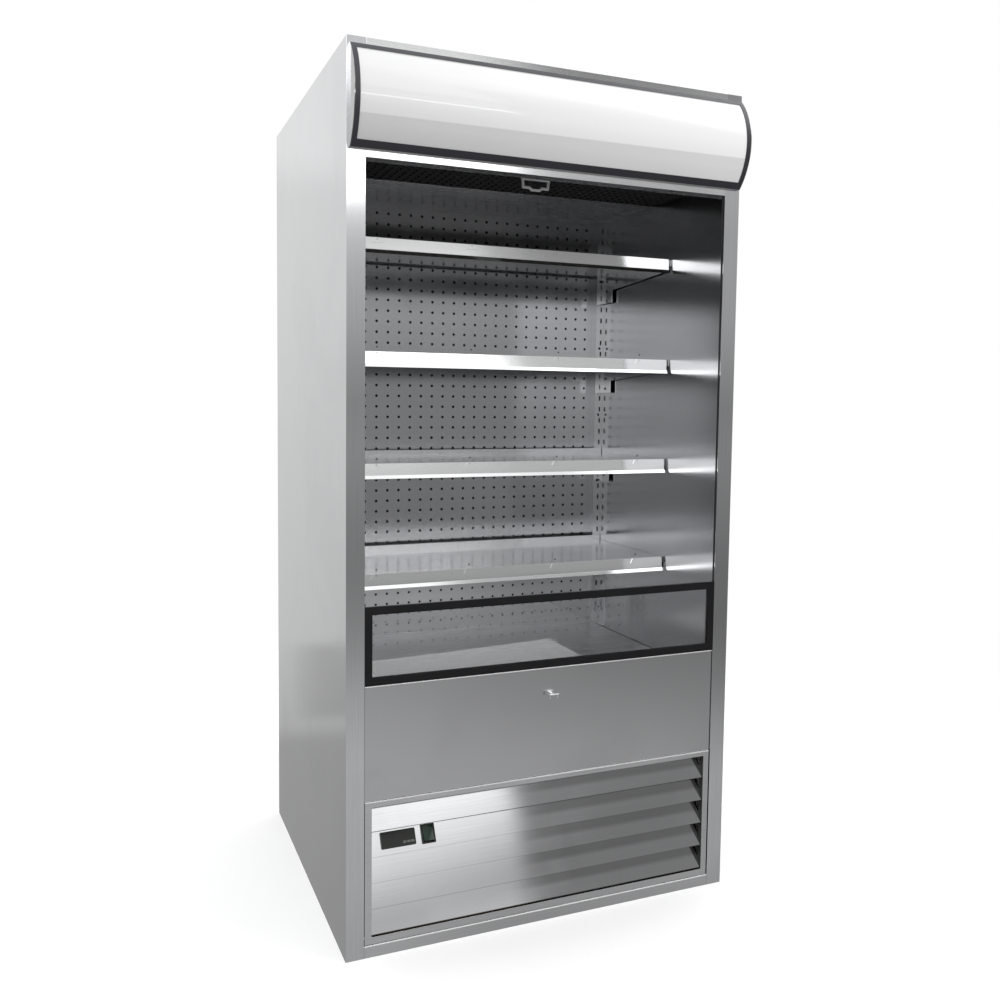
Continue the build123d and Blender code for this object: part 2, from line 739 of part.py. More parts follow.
pocket = (rocker_size[0] + 1, rocker_size[1] + 3)
with BuildPart() as rocker_bezel:
    with BuildSketch(panel_plane):
        with Locations((switch_x, 0)):
            RectangleRounded(switch_size[0], switch_size[1], 2)
    extrude(amount=switch_size[2])
    with BuildSketch(panel_plane):
        with Locations((switch_x, 0)):
            Rectangle(switch_body[0], switch_body[1])
    extrude(amount=-switch_body[2])
    with BuildSketch(panel_plane.offset(switch_size[2])):
        with Locations((switch_x, 0)):
            Rectangle(*pocket)
    extrude(amount=-(switch_size[2] + 13), mode=Mode.SUBTRACT)
    pivot = panel_plane.offset(-rocker_pivot_depth + switch_size[2]).from_local_coords((switch_x, 0, 0))
    rod(
        (pivot.X - pocket[0] / 2 - 1.5, pivot.Y, pivot.Z),
        (1, 0, 0),
        rocker_pin / 2 + running_gap,
        pocket[0] + 3,
        Mode.SUBTRACT,
    )
rocker_bezel.part.label = "rocker_bezel"
export_step(rocker_bezel.part, "parts/rocker_bezel.step")

# The rocker rests with its upper half pressed in. Its profile is drawn about the pivot.
rocker_profile = [(-16.5, 8.0), (0.0, 5.0), (16.5, 8.0), (14.0, -4.0), (-14.0, -4.0)]
with BuildPart() as rocker:
    rocker_plane = Plane(
        origin=(pivot.X - rocker_size[0] / 2, pivot.Y, pivot.Z),
        x_dir=(0, sin(blade_lean + radians(rocker_tilt)), cos(blade_lean + radians(rocker_tilt))),
        z_dir=(1, 0, 0),
    )
    with BuildSketch(rocker_plane):
        with BuildLine():
            Polyline(*rocker_profile, close=True)
        make_face()
    extrude(amount=rocker_size[0])
    rod(
        (pivot.X - pocket[0] / 2 - 1.2, pivot.Y, pivot.Z),
        (1, 0, 0),
        rocker_pin / 2,
        pocket[0] + 2.4,
    )
rocker.part.label = "rocker"
export_step(rocker.part, "parts/rocker.step")

# ---------------------------------------------------------------- light canopy

canopy_x = side_x - canopy_inset
flange_y = front - canopy_flange
half_chord = canopy_height / 2
bow_radius = (half_chord**2 + canopy_bow**2) / (2 * canopy_bow)
bow_centre = (flange_y - canopy_bow + bow_radius, (canopy_top + canopy_bottom) / 2)
inside_x = canopy_x - sheet - fit_gap

with BuildPart() as canopy_housing:
    bar((-inside_x, inside_x), (front - sheet, front), (canopy_bottom, canopy_top))
    bar((-inside_x, inside_x), (flange_y, front), (canopy_top - sheet, canopy_top))
    bar((-inside_x, inside_x), (flange_y, front), (canopy_bottom, canopy_bottom + sheet))
canopy_housing.part.label = "canopy_housing"
export_step(canopy_housing.part, "parts/canopy_housing.step")

with BuildPart() as canopy_diffuser:
    with BuildSketch(Plane.YZ):
        with Locations(bow_centre):
            Circle(bow_radius - trim_thick - fit_gap)
            Circle(bow_radius - trim_thick - fit_gap - diffuser_thick, mode=Mode.SUBTRACT)
        with Locations((flange_y - bow_radius / 2, bow_centre[1])):
            Rectangle(bow_radius, 2 * bow_radius, mode=Mode.INTERSECT)
    extrude(amount=inside_x, both=True)
canopy_diffuser.part.label = "canopy_diffuser"
export_step(canopy_diffuser.part, "parts/canopy_diffuser.step")

with BuildPart() as canopy_trim:
    with BuildSketch(Plane.YZ):
        with Locations(bow_centre):
            Circle(bow_radius)
            Circle(bow_radius - trim_thick, mode=Mode.SUBTRACT)
        with Locations((flange_y - bow_radius / 2, bow_centre[1])):
            Rectangle(bow_radius, 2 * bow_radius, mode=Mode.INTERSECT)
    extrude(amount=inside_x, both=True)
    bar(
        (-inside_x + canopy_band, inside_x - canopy_band),
        (flange_y - 2 * canopy_bow, front),
        (canopy_bottom + canopy_band_foot, canopy_top - canopy_band),
        Mode.SUBTRACT,
    )
canopy_trim.part.label = "canopy_trim"
export_step(canopy_trim.part, "parts/canopy_trim.step")

for side, hand in ((-1, "left"), (1, "right")):
    with BuildPart() as canopy_end:
        with BuildSketch(Plane.YZ.offset(min(side * canopy_x, side * (canopy_x - sheet)))):
            with Locations(bow_centre):
                Circle(bow_radius)
            with Locations((flange_y - bow_radius / 2, bow_centre[1])):
                Rectangle(bow_radius, 2 * bow_radius, mode=Mode.INTERSECT)
            with Locations(((front + flange_y) / 2, bow_centre[1])):
                Rectangle(canopy_flange, canopy_height)
        extrude(amount=sheet)
    canopy_end.part.label = f"canopy_end_{hand}"
    export_step(canopy_end.part, f"parts/canopy_end_{hand}.step")

lamp_y = front - sheet - 6.0 - lamp_diameter / 2
with BuildPart() as lamp_tube:
    rod((-inside_x, lamp_y, bow_centre[1]), (1, 0, 0), lamp_diameter / 2, 2 * inside_x)
lamp_tube.part.label = "lamp_tube"
export_step(lamp_tube.part, "parts/lamp_tube.step")

# ---------------------------------------------------------------- night blind

roller_half = inner_x - 15.0
with BuildPart() as blind_roller:
    rod((-roller_half, roller_y, roller_z), (1, 0, 0), roller_radius, 2 * roller_half)
    rod(
        (-roller_half + 10, roller_y, roller_z),
        (1, 0, 0),
        roller_radius - roller_wall,
        2 * roller_half - 20,
        Mode.SUBTRACT,
    )
    rod((-foam_x + fit_gap, roller_y, roller_z), (1, 0, 0), roller_pin / 2, foam_x - fit_gap - roller_half)
    rod((roller_half, roller_y, roller_z), (1, 0, 0), roller_pin / 2, foam_x - fit_gap - roller_half)
blind_roller.part.label = "blind_roller"
export_step(blind_roller.part, "parts/blind_roller.step")

with BuildPart() as blind_roll:
    rod((-cloth_half, roller_y, roller_z), (1, 0, 0), roll_radius, 2 * cloth_half)
    rod((-cloth_half, roller_y, roller_z), (1, 0, 0), roller_radius, 2 * cloth_half, Mode.SUBTRACT)
blind_roll.part.label = "blind_roll"
export_step(blind_roll.part, "parts/blind_roll.step")

cloth_y = (front + blind_setback - soft_gap - cloth_thick, front + blind_setback - soft_gap)
bar_z = roller_z - bar_drop
bar_top = bar_z + bar_size[1] / 2
bar_bottom = bar_z - bar_size[1] / 2
bar_y = sum(cloth_y) / 2
with BuildPart() as blind_cloth:
    bar((-cloth_half, cloth_half), cloth_y, (bar_top + soft_gap, roller_z))
blind_cloth.part.label = "blind_cloth"
export_step(blind_cloth.part, "parts/blind_cloth.step")

with BuildPart() as blind_bar:
    bar((-bar_half, bar_half), (bar_y - bar_size[0] / 2, bar_y + bar_size[0] / 2), (bar_bottom, bar_top))
    chamfer(blind_bar.edges().filter_by(Axis.X), 1.5)
blind_bar.part.label = "blind_bar"
export_step(blind_bar.part, "parts/blind_bar.step")

with BuildPart() as blind_handle:
    with BuildSketch(Plane.XZ.offset(-(bar_y - loop_depth / 2))):
        with BuildLine():
            Polyline(
                (-loop_top / 2, bar_bottom),
                (loop_top / 2, bar_bottom),
                (loop_bottom / 2, bar_bottom - loop_height),
                (loop_bottom / 4, bar_bottom - loop_height),
                (loop_bottom / 6, bar_bottom - loop_height - loop_dip),
                (-loop_bottom / 6, bar_bottom - loop_height - loop_dip),
                (-loop_bottom / 4, bar_bottom - loop_height),
                (-loop_bottom / 2, bar_bottom - loop_height),
                close=True,
            )
        loop_face = make_face()
        offset(loop_face, amount=-loop_thick, kind=Kind.INTERSECTION, mode=Mode.SUBTRACT)
    extrude(amount=-loop_depth)
blind_handle.part.label = "blind_handle"
export_step(blind_handle.part, "parts/blind_handle.step")

# ---------------------------------------------------------------- refrigeration

pan_z = rail_height
compressor_at = (-230.0, front + 480.0)
compressor_radius = 95.0
compressor_height = 210.0
dome = 38.0
pipe_radius = 5.0
stub_x = 50.0
stub_top = pan_z + 22.0 + compressor_height + 6.0
with BuildPart() as compressor:
    with BuildSketch(Plane.XZ.offset(-compressor_at[1])):
        with BuildLine():
            belly = pan_z + 22.0
            Line((compressor_at[0], belly), (compressor_at[0], belly + compressor_height))
            Spline(
                (compressor_at[0], belly + compressor_height),
                (compressor_at[0] + compressor_radius, belly + compressor_height - dome),
                tangents=((1, 0), (0, -1)),
            )
            Line(
                (compressor_at[0] + compressor_radius, belly + compressor_height - dome),
                (compressor_at[0] + compressor_radius, belly + dome),
            )
            Spline(
                (compressor_at[0] + compressor_radius, belly + dome),
                (compressor_at[0], belly),
                tangents=((0, -1), (-1, 0)),
            )
        make_face()
    revolve(axis=Axis((compressor_at[0], compressor_at[1], 0), (0, 0, 1)))
    with Locations((compressor_at[0], compressor_at[1], pan_z + 20)):
        Box(190, 150, 4)
    for x in (-80, 80):
        for y in (-60, 60):
            rod((compressor_at[0] + x, compressor_at[1] + y, pan_z), (0, 0, 1), 12, 19)
    with Locations((compressor_at[0] + compressor_radius + 8, compressor_at[1], pan_z + 130)):
        Box(40, 70, 80)
    for x in (-stub_x, stub_x):
        rod((compressor_at[0] + x, compressor_at[1], stub_top), (0, 0, -1), pipe_radius + 1.5, 2 * dome)
compressor.part.label = "compressor"
export_step(compressor.part, "parts/compressor.step")

coil_x = (60.0, 400.0)
coil_y = (front + 95.0, front + 165.0)
coil_z = (pan_z, pan_z + 300.0)
fin_grooves = 22
with BuildPart() as condenser_coil:
    bar(coil_x, coil_y, coil_z)
    with BuildSketch(Plane.XZ.offset(-(coil_y[0] - 1))):
        with Locations((sum(coil_x) / 2, sum(coil_z) / 2)):
            with GridLocations((coil_x[1] - coil_x[0] - 20) / fin_grooves, 1, fin_grooves, 1):
                Rectangle(6, coil_z[1] - coil_z[0] - 24)
    extrude(amount=-12, mode=Mode.SUBTRACT)
condenser_coil.part.label = "condenser_coil"
export_step(condenser_coil.part, "parts/condenser_coil.step")

fan_at = (sum(coil_x) / 2, sum(coil_z) / 2)
fan_radius = 125.0
fan_hub = 28.0
fan_y = coil_y[1] + 45.0
shroud_depth = 30.0
with BuildPart() as condenser_fan_motor:
    bar(coil_x, (coil_y[1], coil_y[1] + shroud_depth), coil_z)
    bar(
        (coil_x[0] + sheet, coil_x[1] - sheet),
        (coil_y[1], coil_y[1] + shroud_depth - sheet),
        (coil_z[0] + sheet, coil_z[1] - sheet),
        Mode.SUBTRACT,
    )
    rod((fan_at[0], coil_y[1], fan_at[1]), (0, 1, 0), fan_radius + 6, shroud_depth + 1, Mode.SUBTRACT)
    rod((fan_at[0], fan_y + 30, fan_at[1]), (0, 1, 0), 38, 55)
    for turn in (45, 135, 225, 315):
        reach = fan_radius + 14
        stay = (fan_at[0] + reach * cos(radians(turn)), fan_at[1] + reach * sin(radians(turn)))
        rod((stay[0], coil_y[1] + shroud_depth - 1, stay[1]), (0, 1, 0), 4, fan_y + 44 - coil_y[1] - shroud_depth)
        rod(
            (stay[0], fan_y + 36, stay[1]),
            (-cos(radians(turn)), 0, -sin(radians(turn))),
            2.5,
            reach - 30,
        )
    rod((fan_at[0], fan_y + 29, fan_at[1]), (0, 1, 0), 3 + running_gap, 30, Mode.SUBTRACT)
condenser_fan_motor.part.label = "condenser_fan_motor"
export_step(condenser_fan_motor.part, "parts/condenser_fan_motor.step")

fan_blades = 5
fan_pitch = radians(28)
with BuildPart() as condenser_fan:
    rod((fan_at[0], fan_y - 12, fan_at[1]), (0, 1, 0), fan_hub, 26)
    rod((fan_at[0], fan_y, fan_at[1]), (0, 1, 0), 3, 52)
    for n in range(fan_blades):
        turn = 2 * pi * n / fan_blades
        pitched = Plane(
            origin=(fan_at[0], fan_y, fan_at[1]),
            x_dir=(cos(turn), 0, sin(turn)),
            z_dir=(-sin(turn) * sin(fan_pitch), cos(fan_pitch), cos(turn) * sin(fan_pitch)),
        )
        with BuildSketch(pitched):
            with Locations(((fan_hub + fan_radius) / 2 - 4, 0)):
                RectangleRounded(fan_radius - fan_hub - 4, 50, 14)
        extrude(amount=1.2, both=True)
condenser_fan.part.label = "condenser_fan"
export_step(condenser_fan.part, "parts/condenser_fan.step")

evaporator_x = 330.0
evaporator_y = (panel_y + panel_sheet + 0.5, duct_back - 0.5)
evaporator_z = (deck_top + 20.0, deck_top + 300.0)
with BuildPart() as evaporator_coil:
    bar((-evaporator_x, evaporator_x), evaporator_y, evaporator_z)
    with BuildSketch(Plane.XY.offset(evaporator_z[0] - 1)):
        with Locations((0, sum(evaporator_y) / 2)):
            with GridLocations(16, 1, int(2 * (evaporator_x - 12) / 16), 1):
                Rectangle(9, evaporator_y[1] - evaporator_y[0] - 16)
    extrude(amount=25, mode=Mode.SUBTRACT)
evaporator_coil.part.label = "evaporator_coil"
export_step(evaporator_coil.part, "parts/evaporator_coil.step")

blower_half = 290.0
blower_radius = 42.0
blower_y = front + 340.0
blower_z = tub_floor_z + sheet + 56.0
blower_shaft = 4.0
blower_blades = 18
with BuildPart() as evaporator_fan:
    for x in (-blower_half, -3.0, blower_half - 6.0):
        rod((x, blower_y, blower_z), (1, 0, 0), blower_radius, 6)
    for n in range(blower_blades):
        turn = 2 * pi * n / blower_blades
        blade_at = Plane(
            origin=(
                -blower_half + 3,
                blower_y + (blower_radius - 8) * cos(turn),
                blower_z + (blower_radius - 8) * sin(turn),
            ),
            x_dir=(0, cos(turn), sin(turn)),
            z_dir=(1, 0, 0),
        )
        with BuildSketch(blade_at):
            Rectangle(12, 1.5, rotation=35)
        extrude(amount=2 * blower_half - 6)
    for side in (-1, 1):
        rod((side * (blower_half - 3), blower_y, blower_z), (side, 0, 0), blower_shaft, 33)
evaporator_fan.part.label = "evaporator_fan"
export_step(evaporator_fan.part, "parts/evaporator_fan.step")

with BuildPart() as evaporator_fan_motor:
    for side, length in ((-1, 14), (1, 70)):
        start = blower_half + 12
        rod((side * start, blower_y, blower_z), (side, 0, 0), 30, length)
        bar(
            (side * (start + 2), side * (start + 10)),
            (blower_y - 30, blower_y + 30),
            (tub_floor_z + sheet, blower_z),
        )
        rod(
            (side * (start - 1), blower_y, blower_z),
            (side, 0, 0),
            blower_shaft + running_gap,
            20,
            Mode.SUBTRACT,
        )
evaporator_fan_motor.part.label = "evaporator_fan_motor"
export_step(evaporator_fan_motor.part, "parts/evaporator_fan_motor.step")

box_x = (180.0, 400.0)
box_y = (front + 560.0, front + 700.0)
box_z = (pan_z, pan_z + 150.0)
with BuildPart() as electrical_box:
    bar(box_x, box_y, box_z)
    fillet(electrical_box.edges().filter_by(Axis.Z), 6)
    bar(
        (box_x[0] + 2, box_x[1] - 2),
        (box_y[0] + 2, box_y[1] - 2),
        (box_z[0] + 2, box_z[1] - 2),
        Mode.SUBTRACT,
    )
electrical_box.part.label = "electrical_box"
export_step(electrical_box.part, "parts/electrical_box.step")

with BuildPart() as cord_gland:
    rod((gland_x, cover_y - 14, gland_z), (0, 1, 0), gland_radius, 14 + 2 * sheet)
    with BuildSketch(Plane.XZ.offset(-(cover_y - 8))):
        with Locations((gland_x, gland_z)):
            RegularPolygon(gland_radius + 4, 6)
    extrude(amount=-8)
    rod((gland_x, cover_y - 15, gland_z), (0, 1, 0), 4.5, 20, Mode.SUBTRACT)
cord_gland.part.label = "cord_gland"
export_step(cord_gland.part, "parts/cord_gland.step")

pipe_routes = [
    (
        (compressor_at[0] + stub_x, compressor_at[1], stub_top),
        (compressor_at[0] + stub_x, compressor_at[1], stub_top + 60),
        (pipe_x - 12, compressor_at[1], stub_top + 60),
        (pipe_x - 12, pipe_y, stub_top + 60),
        (pipe_x - 12, pipe_y, deck_top + 60),
        (evaporator_x + 0.5, pipe_y, deck_top + 60),
    ),
    (
        (coil_x[1] - 30, coil_y[1] - 20, coil_z[1]),
        (coil_x[1] - 30, coil_y[1] - 20, coil_z[1] + 25),
        (pipe_x + 12, coil_y[1] + 100, coil_z[1] + 25),
        (pipe_x + 12, pipe_y, coil_z[1] + 25),
        (pipe_x + 12, pipe_y, deck_top + 110),
        (evaporator_x + 0.5, pipe_y, deck_top + 110),
    ),
    (
        (compressor_at[0] - stub_x, compressor_at[1], stub_top),
        (compressor_at[0] - stub_x, compressor_at[1], stub_top + 40),
        (compressor_at[0] - stub_x, coil_y[1] - 35, stub_top + 40),
        (coil_x[0] - 40, coil_y[1] - 35, stub_top + 20),
        (coil_x[0], coil_y[1] - 35, stub_top + 20),
    ),
]
with BuildPart() as pipework:
    for route in pipe_routes:
        with BuildLine() as run:
            FilletPolyline(*route, radius=18)
        with BuildSketch(run.line ^ 0):
            Circle(pipe_radius)
        sweep(path=run.line)
    rod((drain_x, drain_y, pan_z), (0, 0, 1), drain_radius, tub_floor_z + sheet - pan_z)
    rod((drain_x, drain_y, pan_z + 20), (0, 0, 1), drain_radius - 1.5, tub_floor_z, Mode.SUBTRACT)
pipework.part.label = "pipework"
export_step(pipework.part, "parts/pipework.step")
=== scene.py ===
import json
import math

import bmesh
import bpy
import numpy as np
from bpy.props import FloatProperty, FloatVectorProperty, IntProperty, PointerProperty
from mathutils import Matrix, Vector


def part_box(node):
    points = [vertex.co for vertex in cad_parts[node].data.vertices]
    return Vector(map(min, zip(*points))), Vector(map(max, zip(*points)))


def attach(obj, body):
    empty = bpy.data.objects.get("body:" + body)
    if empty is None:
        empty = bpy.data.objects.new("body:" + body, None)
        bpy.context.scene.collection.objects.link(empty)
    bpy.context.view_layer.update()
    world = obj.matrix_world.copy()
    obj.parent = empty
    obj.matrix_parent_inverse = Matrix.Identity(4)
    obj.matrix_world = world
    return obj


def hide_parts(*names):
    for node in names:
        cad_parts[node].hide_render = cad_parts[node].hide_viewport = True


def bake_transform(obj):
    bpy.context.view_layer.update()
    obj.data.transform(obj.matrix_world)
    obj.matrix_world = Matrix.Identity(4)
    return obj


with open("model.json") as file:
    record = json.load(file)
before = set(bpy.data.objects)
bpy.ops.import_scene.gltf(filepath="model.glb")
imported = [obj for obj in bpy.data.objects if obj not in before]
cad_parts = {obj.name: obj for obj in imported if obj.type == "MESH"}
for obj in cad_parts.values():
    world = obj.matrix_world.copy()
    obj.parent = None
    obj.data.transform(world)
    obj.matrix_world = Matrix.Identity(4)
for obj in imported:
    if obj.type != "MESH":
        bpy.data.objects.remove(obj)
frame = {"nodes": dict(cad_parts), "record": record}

bl_info = {
    "name": "Open display fridge",
    "version": (1, 0, 0),
    "blender": (4, 5, 0),
    "location": "View3D > Sidebar > Fridge",
    "description": "Dresses the packed display fridge: steel, glass, plastic, night blind, fasteners and stage",
    "category": "Object",
}

NODES = frame["nodes"]
BODY_OF = {
    member: body
    for body, members in frame["record"]["behaviour"]["bodies"].items()
    for member in members
}
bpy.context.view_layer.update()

# How far the brushed grain is drawn out along X, Y and Z: short along the grain, fine across it.
GRAIN_X = (6.0, 900.0, 900.0)
GRAIN_Y = (900.0, 6.0, 900.0)
GRAIN_Z = (900.0, 900.0, 6.0)
FIN_GRAIN = (600.0, 20.0, 8.0)
SCRATCH_STRETCH = (9.0, 9.0, 31.0)
DULL_SPECULAR = {"Specular IOR Level": 0.3}
WHITE = (1.0, 1.0, 1.0, 1.0)
BLACK = (0.0, 0.0, 0.0, 1.0)

# Where the camera stands, how it is turned in degrees, and its lens in widths of the picture.
CAMERA_PLACE = (-0.9917, -2.2836, 1.2387)
CAMERA_YAW, CAMERA_PITCH, CAMERA_ROLL = 21.241, -3.760, 0.500
CAMERA_FOCAL = 0.91836
CAMERA_SHIFT = (0.04496, -0.03632)
SENSOR_WIDTH = 36


# ------------------------------------------------------------------ mesh helpers

def surface(name, points, faces, smooth=True):
    """A mesh object from an (n, 3) array of points and an array or list of faces."""
    mesh = bpy.data.meshes.new(name)
    mesh.from_pydata(np.asarray(points, float).reshape(-1, 3).tolist(), [], [list(f) for f in faces])
    if smooth:
        mesh.shade_smooth()
    made = bpy.data.objects.new(name, mesh)
    bpy.context.scene.collection.objects.link(made)
    return made


def grid_faces(rows, columns, closed=False):
    """The quads of a grid of rows by columns points. closed joins the last column to the first."""
    r, c = np.meshgrid(np.arange(rows - 1), np.arange(columns if closed else columns - 1), indexing="ij")
    r, c = r.ravel(), c.ravel()
    after = (c + 1) % columns
    return np.stack(
        [r * columns + c, r * columns + after, (r + 1) * columns + after, (r + 1) * columns + c], axis=1)


def turned(name, profile, places, axis_out, segments):
    """Turned heads, all alike. A point of the profile (radius, height) at angle a goes to
    place + radius cos(a) u + radius sin(a) v + height w, where w is axis_out and u, v are square to it."""
    out = np.array(axis_out, float)
    side = np.cross(out, (0.3, 0.5, 0.8))
    side /= np.linalg.norm(side)
    third = np.cross(out, side)
    angle = np.linspace(0, 2 * np.pi, segments, endpoint=False)
    radius, height = np.array(profile, float).T
    ring = np.cos(angle)[:, None] * side + np.sin(angle)[:, None] * third
    head = radius[:, None, None] * ring[None] + height[:, None, None] * out
    head = head.reshape(-1, 3)
    cap = list(range((len(profile) - 1) * segments, len(profile) * segments))
    foot = list(range(segments))[::-1]
    places = np.array(places, float)
    points = (places[:, None, :] + head[None]).reshape(-1, 3)
    one = grid_faces(len(profile), segments, closed=True).tolist() + [cap, foot]
    faces = [[index + n * len(head) for index in face] for n in range(len(places)) for face in one]
    return surface(name, points, faces)


def softened(name, bevel, angle=32, smooth=False):
    """A merged copy of a CAD node, which stands for the node. Edges sharper than the angle are
    rounded. Folded sheet keeps flat faces, and smooth is for a piece with round ones."""
    mesh = NODES[name].data.copy()
    shape = bmesh.new()
    shape.from_mesh(mesh)
    bmesh.ops.remove_doubles(shape, verts=shape.verts, dist=2e-6)
    bmesh.ops.dissolve_limit(shape, angle_limit=math.radians(0.5), verts=shape.verts, edges=shape.edges)
    shape.to_mesh(mesh)
    shape.free()
    if smooth:
        mesh.shade_smooth()
    else:
        mesh.shade_flat()
    made = bpy.data.objects.new(f"{name}_dressed", mesh)
    bpy.context.scene.collection.objects.link(made)
    rounding = made.modifiers.new("rounded edges", "BEVEL")
    rounding.width = bevel
    rounding.segments = 2
    rounding.limit_method = "ANGLE"
    rounding.angle_limit = math.radians(angle)
    rounding.harden_normals = smooth
    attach(made, BODY_OF[name])
    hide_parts(name)
    return made


def dress(material, *things):
    """Puts one material on CAD nodes, named, or on pieces."""
    for thing in things:
        obj = NODES[thing] if isinstance(thing, str) else thing
        if not obj.data.materials:
            obj.data.materials.append(material)
        for place in range(len(obj.data.materials)):
            obj.data.materials[place] = material


# ------------------------------------------------------------------ node helpers

def node(tree, kind, inputs=None, **settings):
    """Adds a node, makes its settings, and sets or links its inputs."""
    made = tree.nodes.new(kind)
    for key, value in settings.items():
        setattr(made, key, value)
    for key, value in (inputs or {}).items():
        if isinstance(value, bpy.types.NodeSocket):
            tree.links.new(value, made.inputs[key])
        else:
            made.inputs[key].default_value = value
    return made


def maths(tree, operation, *values):
    """One step of arithmetic on values or sockets."""
    return node(tree, "ShaderNodeMath", dict(enumerate(values)), operation=operation).outputs[0]


def ranged(tree, value, low, high, to_low=0.0, to_high=1.0, smooth=True):
    """Carries a value from one range to another and stops at its ends."""
    made = node(
        tree, "ShaderNodeMapRange",
        {"Value": value, "From Min": low, "From Max": high, "To Min": to_low, "To Max": to_high},
        interpolation_type="SMOOTHSTEP" if smooth else "LINEAR",
    )
    return made.outputs[0]


def tinted(tree, amount, first, second):
    """A colour between two."""
    made = node(tree, "ShaderNodeMix", {0: amount, 6: first, 7: second}, data_type="RGBA")
    return made.outputs[2]


def rgb(colour):
    """Adds the alpha that a colour socket asks for."""
    return (*colour[:3], 1.0)


def scaled(colour, factor):
    """A colour times a factor."""
    return [factor * channel for channel in colour]


def mixed(first, second, share, other):
    """A weighted sum of two colours."""
    return [share * a + other * b for a, b in zip(first, second)]


def new_group(name, inputs, outputs):
    """A shader node group with named inputs and float outputs, and its two end nodes' sockets."""
    tree = bpy.data.node_groups.new(name, "ShaderNodeTree")
    for label, kind, value in inputs:
        tree.interface.new_socket(label, in_out="INPUT", socket_type=kind).default_value = value
    for label in outputs:
        tree.interface.new_socket(label, in_out="OUTPUT", socket_type="NodeSocketFloat")
    return tree, tree.nodes.new("NodeGroupInput").outputs, tree.nodes.new("NodeGroupOutput").inputs


VECTOR = ("Vector", "NodeSocketVector", (0, 0, 0))
STRETCH = ("Stretch", "NodeSocketVector", (1, 1, 1))


def grain_group():
    """Brushed grain: two fine noises drawn out along the grain, one of short lines and one of long."""
    tree, given, out = new_group("Brushed grain", [VECTOR, STRETCH], ["Tone", "Height"])
    drawn = node(tree, "ShaderNodeVectorMath", {0: given["Vector"], 1: given["Stretch"]}, operation="MULTIPLY")
    fine = node(tree, "ShaderNodeTexNoise", {"Vector": drawn.outputs[0], "Scale": 1.0, "Detail": 2.0})
    long = node(tree, "ShaderNodeTexNoise", {"Vector": drawn.outputs[0], "Scale": 0.45, "Detail": 1.0})
    both = maths(tree, "ADD", maths(tree, "MULTIPLY", fine.outputs[0], 0.75),
                 maths(tree, "MULTIPLY", long.outputs[0], 0.25))
    tree.links.new(ranged(tree, both, 0.25, 0.75, smooth=False), out["Tone"])
    tree.links.new(fine.outputs[0], out["Height"])
    return tree


def smudge_group():
    """Wiped smudges: slow noise, bent by itself, that only shows where it is strong."""
    tree, given, out = new_group("Wiped smudges", [VECTOR, ("Scale", "NodeSocketFloat", 5.0)], ["Mask"])
    cloud = node(tree, "ShaderNodeTexNoise", {
        "Vector": given["Vector"], "Scale": given["Scale"], "Detail": 4.0, "Distortion": 0.8})
    tree.links.new(ranged(tree, cloud.outputs[0], 0.45, 0.72), out["Mask"])
    return tree


def scratch_group():
    """Hairline scratches: the thin ridges of drawn-out noise, broken up by patches."""
    tree, given, out = new_group("Hairline scratches", [VECTOR, STRETCH], ["Mask"])
    drawn = node(tree, "ShaderNodeVectorMath", {0: given["Vector"], 1: given["Stretch"]}, operation="MULTIPLY")
    line = node(tree, "ShaderNodeTexNoise", {"Vector": drawn.outputs[0], "Scale": 1.0, "Detail": 1.0})
    ridge = maths(tree, "ABSOLUTE", maths(tree, "SUBTRACT", line.outputs[0], 0.5))
    thin = ranged(tree, ridge, 0.0, 0.006, 1.0, 0.0)
    patch = node(tree, "ShaderNodeTexNoise", {"Vector": given["Vector"], "Scale": 9.0, "Detail": 1.0})
    tree.links.new(maths(tree, "MULTIPLY", thin, ranged(tree, patch.outputs[0], 0.55, 0.7)), out["Mask"])
    return tree


def speckle_group():
    """Moulded skin: fine grain with slow change."""
    tree, given, out = new_group(
        "Moulded skin", [VECTOR, ("Scale", "NodeSocketFloat", 900.0)], ["Tone", "Height"])
    pores = node(tree, "ShaderNodeTexVoronoi", {"Vector": given["Vector"], "Scale": given["Scale"]})
    cloud = node(tree, "ShaderNodeTexNoise", {"Vector": given["Vector"], "Scale": 14.0, "Detail": 3.0})
    tree.links.new(cloud.outputs[0], out["Tone"])
    tree.links.new(pores.outputs[0], out["Height"])
    return tree


def spangle_group():
    """Zinc spangle: cells of unlike grey with a little noise in each."""
    tree, given, out = new_group(
        "Zinc spangle", [VECTOR, ("Scale", "NodeSocketFloat", 90.0)], ["Tone", "Height"])
    cells = node(tree, "ShaderNodeTexVoronoi", {"Vector": given["Vector"], "Scale": given["Scale"]})
    shade = node(tree, "ShaderNodeSeparateColor", {0: cells.outputs["Color"]})
    tree.links.new(shade.outputs[0], out["Tone"])
    tree.links.new(cells.outputs["Distance"], out["Height"])
    return tree


def weave_group():
    """Plain weave: warp and weft are sine waves across the cloth's own map, one over the other."""
    tree, given, out = new_group(
        "Plain weave", [VECTOR, ("Threads", "NodeSocketFloat", 1200.0)], ["Tone", "Height"])
    parts = node(tree, "ShaderNodeSeparateXYZ", {0: given["Vector"]})
    warp = maths(tree, "SINE", maths(tree, "MULTIPLY", parts.outputs[0], given["Threads"]))
    weft = maths(tree, "SINE", maths(tree, "MULTIPLY", parts.outputs[1], given["Threads"]))
    over = maths(tree, "MAXIMUM", warp, weft)
    slub = node(tree, "ShaderNodeTexNoise", {"Vector": given["Vector"], "Scale": 40.0, "Detail": 3.0})
    tree.links.new(slub.outputs[0], out["Tone"])
    tree.links.new(over, out["Height"])
    return tree


GROUPS = {}


def grouped(tree, name, **inputs):
    """Places a shared effect in a material."""
    return node(
        tree, "ShaderNodeGroup", {key.replace("_", " "): value for key, value in inputs.items()},
        node_tree=GROUPS[name],
    ).outputs


